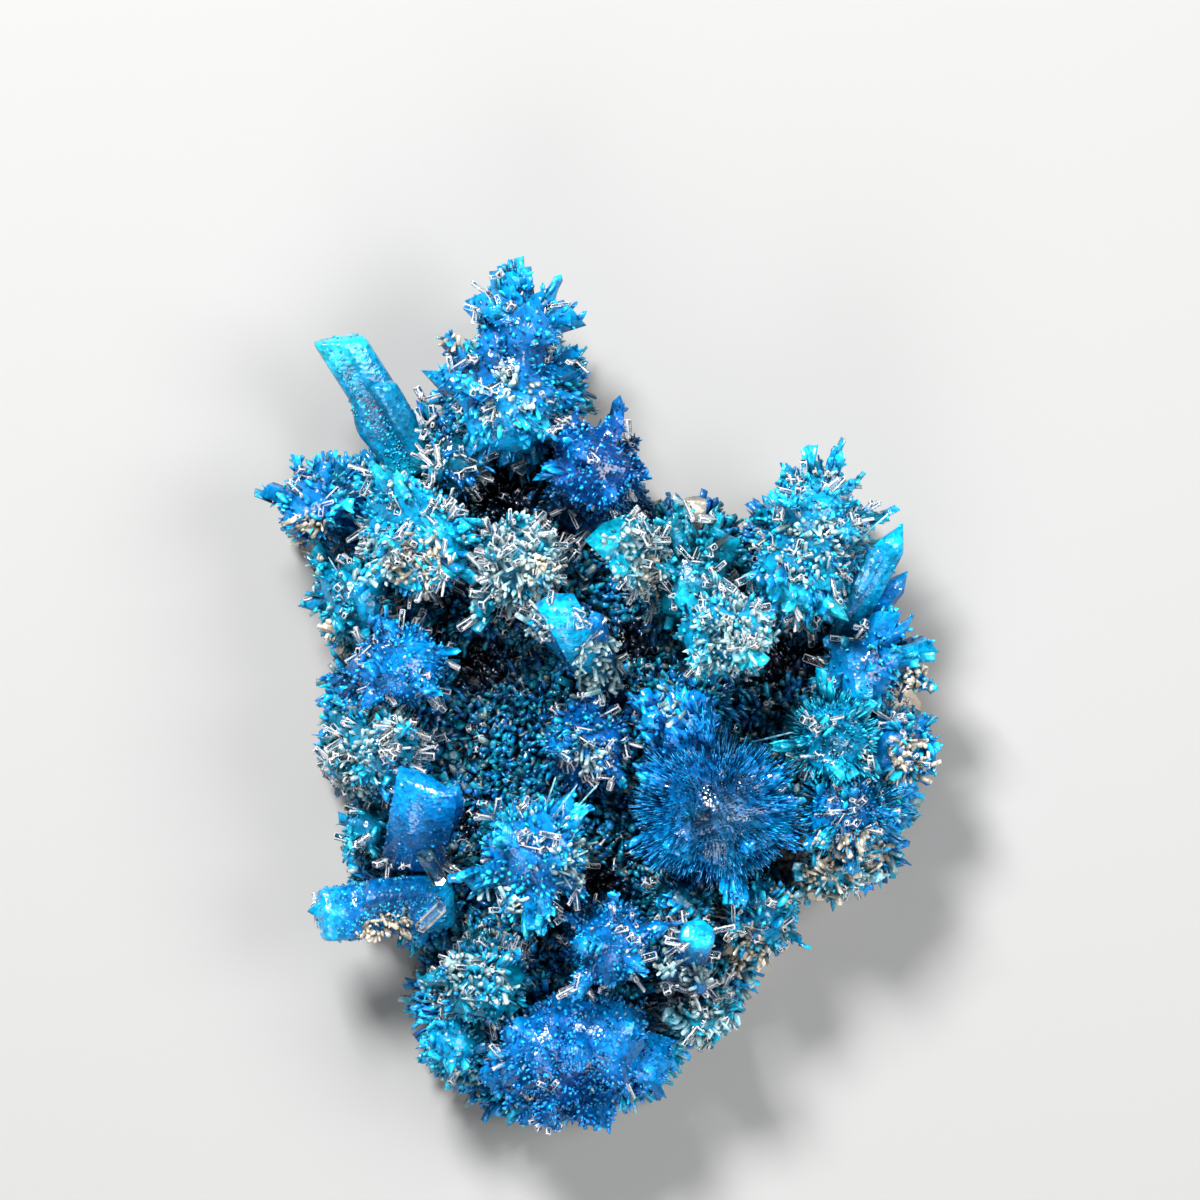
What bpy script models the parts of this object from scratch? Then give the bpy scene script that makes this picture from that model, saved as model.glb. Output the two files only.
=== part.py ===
"""Pentagonite with calcite: blue crystal sprays on a lump of pale calcite rock.

The specimen lies on the flat cut of its rock. X runs to its right, Y along its
height and Z up, out of the rock. The origin is the middle of the underside.
Sizes and places are in millimetres and are turned into metres by MM.
"""

import math
import random

import bmesh
import bpy
from mathutils import Euler, Matrix, Vector

MM = 0.001
GAP = 0.3
FLOOR_BOX = 80.0
CELL_BOX = 14.0
FAN_EDGE = 0.16
GOLDEN_ANGLE = math.pi * (3.0 - math.sqrt(5.0))

LARGE_CRYSTAL_SIDES = 6
SMALL_CRYSTAL_SIDES = 4
POINT_SHARE = 0.9
SLANT_RISE = 0.45
SLANT_DROP = 0.2
NEIGHBOUR_TURN = 0.35
TIP_CLEARANCE = 1.5
SIDE_CLEARANCE = 2.4

BLADE_WIDTH_SHARE = 0.38
BLADE_FLATNESS = (0.45, 0.75)
TIP_WIDTHS = (0.75, 1.1)
FLAT_TIP_WIDTH = 1.3
BLADE_WIDTHS = (0.6, 1.3)
BLADE_LENGTHS = (0.9, 1.28)
ANGLE_SCATTER = 0.2
ROOT_SHARE = 0.15
BURST_SEED_STEP = 100

CORE_SHARE = 0.73
CORE_STRETCH = (0.86, 1.12)
CORE_ROUGHNESS = 0.14
LUMP_ROUGHNESS = 0.13
LUMP_LEAN = (0.3, 1.2)
LUMP_SINK = 0.25
WIDE_LUMP = 7.0
TRUNK_SIDES = 5
TRUNK_TOP_SHARE = 0.5
TRUNK_FOOT_SHARE = 1.0
TRUNK_OVERLAP = 0.2
CRYSTAL_GLOSS = 0.25

AZURE = (0.010, 0.240, 0.700)
DEEP_BLUE = (0.010, 0.110, 0.480)
CYAN = (0.030, 0.480, 0.720)
TEAL = (0.010, 0.260, 0.360)
PALE_BLUE = (0.360, 0.560, 0.640)
CREAM = (0.800, 0.680, 0.520)
ROCK = (0.620, 0.560, 0.480)
CLEAR = (0.900, 0.930, 0.940)


# Rock lumps: middle, half sizes across, and height of each swelling.
ROCK_LUMPS = [
    dict(x=0.0, y=-4.0, half_x=10.4, half_y=9.8, height=6.0),
    dict(x=-4.6, y=8.6, half_x=7.0, half_y=8.0, height=6.0),
    dict(x=-4.8, y=16.6, half_x=4.2, half_y=4.4, height=5.0),
    dict(x=-11.2, y=8.4, half_x=4.9, half_y=5.2, height=5.4),
    dict(x=-10.8, y=-0.4, half_x=4.4, half_y=7.4, height=5.6),
    dict(x=-9.0, y=-9.4, half_x=5.2, half_y=4.8, height=5.4),
    dict(x=-2.4, y=-17.0, half_x=7.2, half_y=6.2, height=5.8),
    dict(x=10.6, y=-2.6, half_x=7.2, half_y=7.2, height=6.0),
    dict(x=15.8, y=-1.2, half_x=2.6, half_y=3.0, height=4.8),
    dict(x=11.2, y=6.0, half_x=4.2, half_y=5.8, height=5.8),
    dict(x=11.8, y=-8.0, half_x=4.8, half_y=3.8, height=5.4),
    dict(x=5.2, y=-12.8, half_x=4.7, half_y=5.4, height=5.4),
    dict(x=4.4, y=5.8, half_x=5.4, half_y=5.4, height=5.6),
    dict(x=-15.0, y=10.6, half_x=2.2, half_y=2.4, height=4.6),
]


# Single crystals and groups of a few, each from a root to a tip.
CRYSTALS = {
    "upper_left_finger": dict(
        colour=CYAN,
        blades=[
            dict(root=(-9.9, 12.6, 5.5), tip=(-14.8, 20.3, 8.4), width=3.1, thickness=1.8, end="slant"),
            dict(root=(-9.6, 13.0, 6.2), tip=(-12.2, 17.6, 9.2), width=1.8, thickness=1.2, end="slant"),
            dict(root=(-10.9, 12.4, 5.6), tip=(-13.9, 16.0, 7.0), width=1.5, thickness=1.2, end="point"),
        ],
    ),
    "right_finger": dict(
        colour=AZURE,
        blades=[
            dict(root=(13.0, 2.6, 5.5), tip=(16.6, 9.6, 8.6), width=1.8, thickness=1.1, end="point"),
            dict(root=(13.4, 2.6, 5.5), tip=(16.9, 7.0, 7.4), width=1.3, thickness=0.8, end="point"),
            dict(root=(12.8, 2.8, 5.5), tip=(15.2, 8.2, 8.6), width=1.2, thickness=0.8, end="slant"),
        ],
    ),
    "lower_left_finger": dict(
        colour=AZURE,
        blades=[
            dict(root=(-8.2, -11.2, 5.5), tip=(-15.5, -12.0, 7.2), width=3.5, thickness=2.4, end="flat"),
            dict(root=(-8.4, -11.0, 5.6), tip=(-16.6, -11.8, 7.4), width=2.6, thickness=1.9, end="point"),
            dict(root=(-8.6, -10.4, 5.8), tip=(-13.4, -10.8, 8.2), width=1.9, thickness=1.5, end="slant"),
        ],
    ),
    "big_slab": dict(
        colour=AZURE,
        blades=[
            dict(root=(-10.4, -9.3, 6.0), tip=(-9.4, -4.3, 12.2), width=4.0, thickness=1.6, end="slant"),
            dict(root=(-9.8, -9.0, 6.5), tip=(-7.8, -4.6, 11.2), width=1.9, thickness=1.4, end="point"),
        ],
    ),
    "centre_prism": dict(
        colour=AZURE,
        blades=[
            dict(root=(0.6, -0.2, 5.5), tip=(-2.5, 5.4, 15.0), width=2.4, thickness=1.6, end="slant"),
            dict(root=(0.4, 0.2, 5.5), tip=(-3.7, 4.6, 13.2), width=1.3, thickness=0.9, end="slant"),
            dict(root=(0.8, 0.4, 5.5), tip=(-0.5, 4.8, 12.8), width=1.3, thickness=0.9, end="point"),
        ],
    ),
    "crusted_blade": dict(
        colour=CYAN,
        blades=[
            dict(root=(3.8, 6.0, 5.5), tip=(0.2, 9.4, 12.6), width=3.0, thickness=1.4, end="slant"),
            dict(root=(3.6, 6.6, 5.5), tip=(1.8, 9.8, 12.0), width=1.4, thickness=1.0, end="point"),
            dict(root=(3.2, 5.8, 5.5), tip=(0.8, 7.4, 12.8), width=1.3, thickness=1.0, end="slant"),
        ],
    ),
    "lower_stub": dict(
        colour=AZURE,
        blades=[
            dict(root=(4.6, -15.4, 4.5), tip=(5.3, -12.8, 12.6), width=2.3, thickness=2.0, end="flat"),
            dict(root=(4.2, -15.6, 4.5), tip=(3.6, -14.8, 11.0), width=1.3, thickness=1.0, end="slant"),
            dict(root=(5.2, -15.8, 4.5), tip=(5.4, -15.8, 10.6), width=1.3, thickness=1.0, end="point"),
        ],
    ),
    "cream_calcite_crystal": dict(
        colour=CREAM,
        blades=[
            dict(root=(5.0, 6.8, 4.8), tip=(5.2, 10.8, 7.2), width=1.4, thickness=1.3, end="flat"),
        ],
    ),
    "large_calcite_prism": dict(
        colour=CLEAR,
        blades=[
            dict(root=(-8.9, -9.9, 9.5), tip=(-9.6, -8.5, 13.4), width=1.0, thickness=0.9, end="slant"),
        ],
    ),
    "small_calcite_prism": dict(
        colour=CLEAR,
        blades=[
            dict(root=(-9.9, -12.6, 8.0), tip=(-8.7, -11.4, 10.4), width=0.8, thickness=0.7, end="slant"),
        ],
    ),
}


# Sprays: crystals that radiate from one or more middles. Tips set the outline; flat tips
# are the broad blades with a square end.
SPRAYS = {
    "crown_spray": dict(
        colour=CYAN,
        seed=11,
        bursts=[
            dict(
                middle=(-5.3, 16.0, 8.2), reach=4.4, aim=(0.0, 0.2, 1.0), blades=4, stem=(-4.8, 14.6, 3.0),
                width=2.0,
                tips=[(-9.9, 18.0, 8.6), (-8.7, 19.9, 8.4), (-0.6, 16.4, 8.0), (-0.9, 18.8, 8.2)],
            ),
            dict(
                middle=(-4.6, 20.2, 7.8), reach=3.2, aim=(0.0, 0.5, 1.0), blades=3, stem=(-5.3, 16.0, 7.5),
                width=1.8,
                tips=[(-7.6, 21.4, 8.2), (-6.9, 22.4, 7.6), (-2.2, 22.9, 8.0), (-1.1, 21.3, 7.8)],
                flat_tips=[(-5.0, 23.6, 8.0)],
            ),
        ],
    ),
    "crown_foot_spray": dict(
        colour=TEAL,
        seed=13,
        bursts=[
            dict(
                middle=(-8.2, 13.0, 7.4), reach=2.6, aim=(-0.1, 0.1, 1.0), blades=3, stem=(-8.0, 12.4, 3.0),
                tips=[(-9.9, 16.6, 7.8), (-8.6, 16.4, 8.8)],
            ),
        ],
    ),
    "round_lobe": dict(
        colour=DEEP_BLUE,
        seed=12,
        bursts=[
            dict(
                middle=(-0.4, 12.6, 8.6), reach=3.7, aim=(0.1, 0.2, 1.0), blades=6, stem=(-0.8, 11.0, 3.0),
                tips=[(2.4, 13.0, 8.8), (2.0, 14.2, 8.0), (0.0, 15.4, 8.4), (2.4, 11.4, 8.6)],
            ),
        ],
    ),
    "upper_middle_blades": dict(
        colour=TEAL,
        seed=14,
        bursts=[
            dict(
                middle=(5.0, 6.2, 7.0), reach=3.3, aim=(0.0, 0.3, 1.0), blades=3, stem=(4.8, 5.6, 3.0),
                width=1.7,
                tips=[
                    (4.5, 12.0, 7.8), (3.3, 10.6, 9.2), (6.5, 10.4, 8.6), (7.7, 9.0, 7.8), (2.3, 10.0, 8.0),
                ],
            ),
        ],
    ),
    "right_tower": dict(
        colour=CYAN,
        seed=15,
        bursts=[
            dict(
                middle=(11.6, 10.2, 8.6), reach=3.2, aim=(0.0, 0.3, 1.0), blades=3, stem=(11.0, 6.6, 8.0),
                tips=[
                    (13.3, 13.9, 8.6), (14.4, 12.2, 8.2), (9.8, 12.4, 8.6), (11.3, 12.9, 9.0),
                    (8.4, 10.2, 8.2), (15.8, 9.9, 7.8), (14.2, 10.8, 9.4),
                ],
            ),
            dict(
                middle=(11.0, 6.6, 8.8), reach=3.4, aim=(0.0, 0.0, 1.0), blades=3, stem=(11.2, 5.8, 3.0),
                tips=[(8.5, 7.4, 8.6), (13.9, 7.6, 8.2)],
            ),
        ],
    ),
    "right_blade_fan": dict(
        colour=TEAL,
        seed=16,
        bursts=[
            dict(
                middle=(14.2, 1.4, 7.2), reach=3.1, aim=(0.6, 0.2, 1.0), blades=3, stem=(13.6, 0.8, 3.0),
                width=1.7,
                tips=[
                    (18.4, 3.1, 8.0), (17.3, 4.6, 7.4), (18.2, 1.0, 7.0), (16.8, 2.6, 9.2), (15.8, 5.0, 7.4),
                ],
            ),
        ],
    ),
    "right_edge_lobe": dict(
        colour=AZURE,
        seed=17,
        bursts=[
            dict(
                middle=(16.1, -2.8, 6.6), reach=2.4, aim=(0.5, 0.0, 1.0), blades=2, stem=(15.6, -1.8, 3.0),
                width=1.6,
                tips=[(18.7, -2.4, 6.8), (18.3, -0.9, 6.6), (17.8, -4.6, 6.4), (18.6, -3.6, 7.2)],
            ),
        ],
    ),
    "upper_right_ball": dict(
        colour=TEAL,
        seed=18,
        bursts=[
            dict(middle=(12.7, -2.4, 9.4), reach=3.3, aim=(0.1, 0.1, 1.0), blades=6, stem=(12.2, -2.4, 3.0)),
        ],
    ),
    "lower_right_ball": dict(
        colour=AZURE,
        seed=19,
        bursts=[
            dict(
                middle=(13.4, -6.2, 8.6), reach=3.3, aim=(0.1, 0.0, 1.0), blades=5, stem=(12.8, -6.4, 3.0),
                tips=[(16.3, -5.2, 8.0), (17.0, -6.2, 7.2), (16.4, -7.8, 7.4)],
            ),
        ],
    ),
    "sunburst": dict(
        colour=DEEP_BLUE,
        seed=20,
        bursts=[
            dict(
                middle=(6.4, -6.4, 9.2), reach=4.9, aim=(0.0, 0.0, 1.0), blades=10, stem=(6.6, -6.2, 3.0),
                tips=[(10.4, -3.8, 12.0), (2.6, -9.2, 11.0)],
            ),
            dict(
                middle=(4.4, -1.8, 8.2), reach=3.2, aim=(-0.1, 0.3, 1.0), blades=4, stem=(5.6, -5.0, 6.0),
                tips=[(2.0, 0.2, 10.4), (4.6, 0.7, 10.6)],
            ),
        ],
    ),
    "encrusted_stump": dict(
        colour=PALE_BLUE,
        seed=21,
        bursts=[
            dict(middle=(-4.6, 7.6, 10.6), reach=3.3, aim=(0.0, 0.0, 1.0), blades=4, stem=(-4.6, 7.2, 3.0)),
        ],
    ),
    "pale_lump": dict(
        colour=PALE_BLUE,
        seed=22,
        bursts=[
            dict(middle=(6.8, 3.6, 11.6), reach=3.2, aim=(0.0, 0.2, 1.0), blades=6, stem=(6.8, 2.6, 3.0)),
        ],
    ),
    "far_left_spray": dict(
        colour=AZURE,
        seed=23,
        bursts=[
            dict(
                middle=(-16.0, 10.6, 6.8), reach=2.5, aim=(-0.3, 0.2, 1.0), blades=2, stem=(-14.8, 10.6, 3.0),
                width=1.3,
                tips=[
                    (-18.7, 11.6, 7.0), (-16.9, 13.5, 7.0), (-17.8, 9.6, 6.8), (-16.6, 8.0, 6.6),
                    (-15.0, 13.2, 7.6),
                ],
            ),
        ],
    ),
    "upper_left_cluster": dict(
        colour=CYAN,
        seed=24,
        bursts=[
            dict(
                middle=(-10.2, 8.8, 9.0), reach=4.1, aim=(0.0, 0.0, 1.0), blades=5, stem=(-10.4, 8.6, 3.0),
                tips=[(-12.9, 10.9, 9.0), (-12.8, 13.2, 8.0)],
            ),
        ],
    ),
    "left_edge_spray": dict(
        colour=CYAN,
        seed=25,
        bursts=[
            dict(
                middle=(-13.6, 5.4, 7.2), reach=2.9, aim=(-0.4, 0.0, 1.0), blades=3, stem=(-12.8, 5.2, 3.0),
                tips=[(-15.9, 5.9, 6.8), (-15.0, 3.2, 6.2), (-16.0, 8.0, 7.4)],
            ),
        ],
    ),
    "left_middle_spray": dict(
        colour=AZURE,
        seed=26,
        bursts=[
            dict(
                middle=(-11.2, 1.8, 8.8), reach=3.6, aim=(0.0, 0.0, 1.0), blades=5, stem=(-11.4, 1.8, 3.0),
                tips=[(-14.9, 0.8, 7.8), (-15.1, -0.4, 7.2)],
            ),
        ],
    ),
    "left_lower_spray": dict(
        colour=TEAL,
        seed=27,
        bursts=[
            dict(
                middle=(-12.4, -3.0, 8.0), reach=3.4, aim=(-0.2, 0.0, 1.0), blades=4, stem=(-11.8, -3.2, 3.0),
                tips=[(-15.5, -2.4, 7.2), (-14.9, -0.9, 7.6), (-14.8, -5.7, 7.0)],
            ),
        ],
    ),
    "left_low_lobe": dict(
        colour=CYAN,
        seed=28,
        bursts=[
            dict(
                middle=(-12.8, -7.2, 6.4), reach=2.2, aim=(-0.4, 0.1, 1.0), blades=2, stem=(-11.8, -7.6, 3.0),
                tips=[(-14.6, -6.6, 6.4), (-14.1, -8.6, 6.0)],
            ),
        ],
    ),
    "pointed_cluster": dict(
        colour=AZURE,
        seed=29,
        bursts=[
            dict(
                middle=(-3.6, -8.6, 11.6), reach=3.9, aim=(0.0, -0.1, 1.0), blades=6, stem=(-3.6, -8.0, 3.0),
                width=1.7,
                tips=[
                    (-3.6, -12.8, 13.6), (-3.2, -5.2, 12.8), (-1.4, -4.9, 12.6), (-4.8, -5.6, 12.2),
                    (-6.5, -9.4, 12.4), (-5.2, -12.0, 13.0),
                ],
            ),
        ],
    ),
    "middle_cluster": dict(
        colour=TEAL,
        seed=30,
        bursts=[
            dict(middle=(-0.6, -2.6, 7.8), reach=3.6, aim=(0.0, 0.0, 1.0), blades=3, stem=(-0.6, -2.6, 3.0)),
        ],
    ),
    "lower_lump": dict(
        colour=AZURE,
        seed=32,
        bursts=[
            dict(middle=(0.5, -13.4, 10.2), reach=3.6, aim=(0.0, 0.0, 1.0), blades=6, stem=(0.4, -13.4, 3.0)),
        ],
    ),
    "lower_middle_spray": dict(
        colour=TEAL,
        seed=39,
        bursts=[
            dict(middle=(4.4, -11.4, 7.6), reach=2.6, aim=(0.0, 0.0, 1.0), blades=3, stem=(4.4, -11.0, 3.0)),
        ],
    ),
    "bottom_mass": dict(
        colour=DEEP_BLUE,
        seed=33,
        bursts=[
            dict(
                middle=(-3.2, -19.4, 7.4), reach=3.9, aim=(0.0, -0.1, 1.0), blades=3, stem=(-2.6, -18.6, 2.6),
                width=2.2,
                tips=[(-5.3, -22.8, 6.6), (-6.6, -21.4, 7.0)],
                flat_tips=[(-3.2, -23.4, 6.6)],
            ),
            dict(
                middle=(0.4, -18.8, 8.0), reach=3.7, aim=(0.1, -0.1, 1.0), blades=3, stem=(-3.2, -19.4, 7.0),
                width=2.2,
                tips=[(2.4, -22.3, 7.0), (3.9, -19.8, 7.4)],
                flat_tips=[(-0.8, -23.3, 6.8), (3.2, -20.8, 7.2)],
            ),
        ],
    ),
    "bottom_ring": dict(
        colour=TEAL,
        seed=34,
        bursts=[
            dict(
                middle=(-6.4, -15.6, 8.0), reach=3.3, aim=(-0.1, 0.0, 1.0), blades=4, stem=(-6.0, -15.4, 3.0),
                tips=[(-9.8, -15.7, 7.4), (-9.9, -16.9, 7.0)],
            ),
        ],
    ),
    "bottom_left_lobe": dict(
        colour=CYAN,
        seed=35,
        bursts=[
            dict(
                middle=(-8.3, -19.2, 6.4), reach=2.1, aim=(-0.3, -0.2, 1.0), blades=3,
                stem=(-6.6, -18.4, 3.6),
                tips=[(-10.0, -19.9, 6.4), (-8.8, -21.0, 6.2), (-9.4, -18.2, 6.2)],
            ),
        ],
    ),
    "lower_right_lobe": dict(
        colour=CYAN,
        seed=36,
        bursts=[
            dict(
                middle=(8.8, -12.0, 7.4), reach=2.6, aim=(0.2, -0.1, 1.0), blades=3, stem=(8.4, -11.6, 3.0),
                tips=[(8.8, -14.7, 7.0), (10.8, -12.2, 7.2), (7.6, -14.0, 7.6)],
            ),
        ],
    ),
    "lower_right_crust": dict(
        colour=PALE_BLUE,
        seed=37,
        bursts=[
            dict(
                middle=(5.6, -17.6, 6.6), reach=2.3, aim=(0.1, -0.2, 1.0), blades=2, stem=(5.2, -16.6, 3.0),
                tips=[(7.4, -17.0, 6.6), (5.6, -19.0, 6.4)],
            ),
        ],
    ),
    "pale_band_spray": dict(
        colour=PALE_BLUE,
        seed=38,
        bursts=[
            dict(
                middle=(12.8, -9.4, 6.8), reach=2.3, aim=(0.2, -0.2, 1.0), blades=2, stem=(12.4, -8.8, 3.0),
                tips=[(15.5, -9.8, 6.4), (15.6, -8.3, 6.8), (12.4, -11.0, 6.2), (10.6, -10.8, 6.4)],
            ),
        ],
    ),
}


def in_metres(point):
    """Turn a place in millimetres into a vector in metres."""
    return Vector(point) * MM


def new_collection(name):
    """Make an empty collection in the scene."""
    collection = bpy.data.collections.new(name)
    bpy.context.scene.collection.children.link(collection)
    return collection


def new_object(name, shape, collection):
    """Turn a bmesh into an object and free the bmesh."""
    mesh = bpy.data.meshes.new(name)
    shape.to_mesh(mesh)
    shape.free()
    made = bpy.data.objects.new(name, mesh)
    collection.objects.link(made)
    return made


def remove(unwanted):
    """Delete an object that was only a step in the work."""
    bpy.data.objects.remove(unwanted, do_unlink=True)


def combine(target, operation, other, overlapping=False):
    """Apply one exact Boolean to the target's mesh."""
    modifier = target.modifiers.new("combine", "BOOLEAN")
    modifier.operation = operation
    modifier.solver = "EXACT"
    modifier.object = other
    modifier.use_self = overlapping
    bpy.context.view_layer.update()
    depsgraph = bpy.context.evaluated_depsgraph_get()
    result = bpy.data.meshes.new_from_object(target.evaluated_get(depsgraph))
    target.modifiers.clear()
    target.data = result


def add_crystal(shape, sides, root, tip, width, thickness, end, turn):
    """Add a flattened prism that runs from its root to its tip."""
    axis = tip - root
    length = axis.length
    point_length = min(POINT_SHARE * width, 0.5 * length) if end == "point" else 0.0
    made = bmesh.ops.create_cone(
        shape,
        cap_ends=True,
        segments=sides,
        radius1=0.5,
        radius2=0.5,
        depth=1.0,
    )
    vertices = made["verts"]
    top = [vertex for vertex in vertices if vertex.co.z > 0.0]
    for vertex in vertices:
        vertex.co.x *= width
        vertex.co.y *= thickness
        vertex.co.z = (vertex.co.z + 0.5) * (length - point_length)
    if end == "slant":
        for vertex in top:
            vertex.co.z += SLANT_RISE * vertex.co.x - SLANT_DROP * width
    if end == "point":
        cap = next(face for face in shape.faces if set(face.verts) == set(top))
        poked = bmesh.ops.poke(shape, faces=[cap])
        peak = poked["verts"][0]
        peak.co.z = length
        vertices.append(peak)
    rotation = axis.to_track_quat("Z", "Y").to_matrix().to_4x4()
    place = Matrix.Translation(root) @ rotation @ Matrix.Rotation(turn, 4, "Z")
    bmesh.ops.transform(shape, matrix=place, verts=vertices)


def add_trunk(shape, middle, foot, reach, turn):
    """Add the broad foot that joins a burst to what it grows on."""
    axis = middle - foot
    overlap = TRUNK_OVERLAP * reach
    made = bmesh.ops.create_cone(
        shape,
        cap_ends=True,
        segments=TRUNK_SIDES,
        radius1=TRUNK_FOOT_SHARE * reach,
        radius2=TRUNK_TOP_SHARE * reach,
        depth=axis.length + overlap,
    )
    rotation = axis.to_track_quat("Z", "Y").to_matrix().to_4x4()
    halfway = foot + axis.normalized() * 0.5 * (axis.length + overlap)
    place = Matrix.Translation(halfway) @ rotation @ Matrix.Rotation(turn, 4, "Z")
    bmesh.ops.transform(shape, matrix=place, verts=made["verts"])


def rough_stone(middle, half_sizes, detail, roughness, seed):
    """Return a bmesh of an uneven faceted lump."""
    chance = random.Random(seed)
    lean = Euler([chance.uniform(*LUMP_LEAN) for axis in range(3)]).to_matrix()
    shape = bmesh.new()
    bmesh.ops.create_icosphere(shape, subdivisions=detail, radius=1.0)
    for vertex in shape.verts:
        swell = 1.0 + chance.uniform(-roughness, roughness)
        unit = lean @ vertex.co * swell
        vertex.co = middle + Vector([unit[axis] * half_sizes[axis] for axis in range(3)])
    return shape


def largest_body(target):
    """Keep the largest body of a mesh, without chips cut loose or sealed pockets."""
    shape = bmesh.new()
    shape.from_mesh(target.data)
    waiting = set(shape.verts)
    bodies = []
    while waiting:
        body = set()
        front = [next(iter(waiting))]
        while front:
            vertex = front.pop()
            if vertex in body:
                continue
            body.add(vertex)
            front.extend(edge.other_vert(vertex) for edge in vertex.link_edges)
        waiting -= body
        bodies.append(body)
    largest = max(bodies, key=span)
    loose = [vertex for vertex in shape.verts if vertex not in largest]
    bmesh.ops.delete(shape, geom=loose, context="VERTS")
    shape.to_mesh(target.data)
    shape.free()


def span(vertices):
    """Length of the diagonal of the box around some vertices."""
    lows = [min(vertex.co[axis] for vertex in vertices) for axis in range(3)]
    highs = [max(vertex.co[axis] for vertex in vertices) for axis in range(3)]
    return (Vector(highs) - Vector(lows)).length


def rock(name, growth, collection):
    """Join the rock's lumps, each wider by the growth, and cut them flat at Z = 0."""
    lumps = []
    for number, lump in enumerate(ROCK_LUMPS):
        half_z = lump["height"] / (1.0 + LUMP_SINK)
        middle = in_metres((lump["x"], lump["y"], LUMP_SINK * half_z))
        half_sizes = in_metres((lump["half_x"] + growth, lump["half_y"] + growth, half_z + growth))
        detail = 2 if lump["half_x"] > WIDE_LUMP else 1
        stone = rough_stone(middle, half_sizes, detail, LUMP_ROUGHNESS, number)
        lumps.append(new_object(f"{name}_lump_{number}", stone, collection))
    joined = lumps[0]
    for lump in lumps[1:]:
        combine(joined, "UNION", lump)
        remove(lump)
    above = bmesh.new()
    bmesh.ops.create_cube(above, size=FLOOR_BOX * MM)
    bmesh.ops.translate(above, verts=above.verts, vec=in_metres((0.0, 0.0, FLOOR_BOX / 2.0)))
    above_floor = new_object(f"{name}_above_floor", above, collection)
    combine(joined, "INTERSECT", above_floor)
    remove(above_floor)
    joined.name = name
    largest_body(joined)
    return joined


def crystal_group(name, growth, collection):
    """Join the crystals of one group, each larger all round by the growth."""
    shape = bmesh.new()
    for number, blade in enumerate(CRYSTALS[name]["blades"]):
        root = in_metres(blade["root"])
        tip = in_metres(blade["tip"])
        ahead = (tip - root).normalized() * growth * MM
        add_crystal(
            shape,
            LARGE_CRYSTAL_SIDES,
            root - ahead,
            tip + ahead * TIP_CLEARANCE,
            (blade["width"] + SIDE_CLEARANCE * growth) * MM,
            (blade["thickness"] + SIDE_CLEARANCE * growth) * MM,
            blade["end"],
            NEIGHBOUR_TURN * number,
        )
    group = new_object(name, shape, collection)
    return group


def unite_self(target, collection):
    """Join the crystals of one mesh that pass through each other."""
    far = bmesh.new()
    bmesh.ops.create_cube(far, size=FLOOR_BOX * 2.0 * MM)
    everything = new_object("everything", far, collection)
    combine(target, "INTERSECT", everything, overlapping=True)
    remove(everything)


def spread_directions(count, aim, chance):
    """Directions spaced evenly over nearly the half space around the aim."""
    toward = Vector(aim).normalized().to_track_quat("Z", "Y")
    directions = []
    for number in range(count):
        height = 1.0 - (1.0 - FAN_EDGE) * (number + 0.5) / count
        across = math.sqrt(1.0 - height * height)
        angle = GOLDEN_ANGLE * number + chance.uniform(-ANGLE_SCATTER, ANGLE_SCATTER)
        local = Vector((across * math.cos(angle), across * math.sin(angle), height))
        directions.append(toward @ local)
    return directions


def burst(name, details, seed, collection):
    """Make one burst: a rough core, a stem into the rock and blades out of its middle."""
    chance = random.Random(seed)
    middle = in_metres(details["middle"])
    reach = details["reach"]
    width = details.get("width", BLADE_WIDTH_SHARE * reach)
    core_size = Vector([CORE_SHARE * reach * chance.uniform(*CORE_STRETCH) * MM for axis in range(3)])
    core = new_object(name, rough_stone(middle, core_size, 1, CORE_ROUGHNESS, seed), collection)
    blades = bmesh.new()
    add_trunk(blades, middle, in_metres(details["stem"]), reach * MM, chance.uniform(0.0, math.pi))

    ends = []
    for tip in details.get("tips", []):
        ends.append((in_metres(tip), width * chance.uniform(*TIP_WIDTHS), chance.choice(["point", "slant"])))
    for tip in details.get("flat_tips", []):
        ends.append((in_metres(tip), width * FLAT_TIP_WIDTH, "flat"))
    for direction in spread_directions(details["blades"], details["aim"], chance):
        length = reach * chance.uniform(*BLADE_LENGTHS)
        blade_width = width * chance.uniform(*BLADE_WIDTHS)
        ends.append((middle + direction * length * MM, blade_width, chance.choice(["point", "slant"])))
    for tip, blade_width, end in ends:
        outward = (tip - middle).normalized()
        add_crystal(
            blades,
            SMALL_CRYSTAL_SIDES,
            middle - outward * ROOT_SHARE * reach * MM,
            tip,
            blade_width * MM,
            blade_width * chance.uniform(*BLADE_FLATNESS) * MM,
            end,
            chance.uniform(0.0, math.pi),
        )
    blades_object = new_object(f"{name}_blades", blades, collection)
    combine(core, "UNION", blades_object, overlapping=True)
    remove(blades_object)
    return core


def cell(details, strangers, collection):
    """Make the convex space of one burst, bounded halfway to each burst of other sprays."""
    middle = in_metres(details["middle"])
    shape = bmesh.new()
    bmesh.ops.create_cube(shape, size=2.0 * CELL_BOX * MM)
    bmesh.ops.translate(shape, verts=shape.verts, vec=middle)
    for stranger in strangers:
        other = in_metres(stranger["middle"])
        across = other - middle
        share = details["reach"] / (details["reach"] + stranger["reach"])
        outward = across.normalized()
        wall = middle + across * share - outward * 0.5 * GAP * MM
        everything = shape.verts[:] + shape.edges[:] + shape.faces[:]
        cut = bmesh.ops.bisect_plane(
            shape, geom=everything, plane_co=wall, plane_no=outward, clear_outer=True
        )
        rim = [element for element in cut["geom_cut"] if isinstance(element, bmesh.types.BMEdge)]
        if rim:
            bmesh.ops.edgeloop_fill(shape, edges=rim)
    bmesh.ops.recalc_face_normals(shape, faces=shape.faces)
    return new_object("cell", shape, collection)


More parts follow.
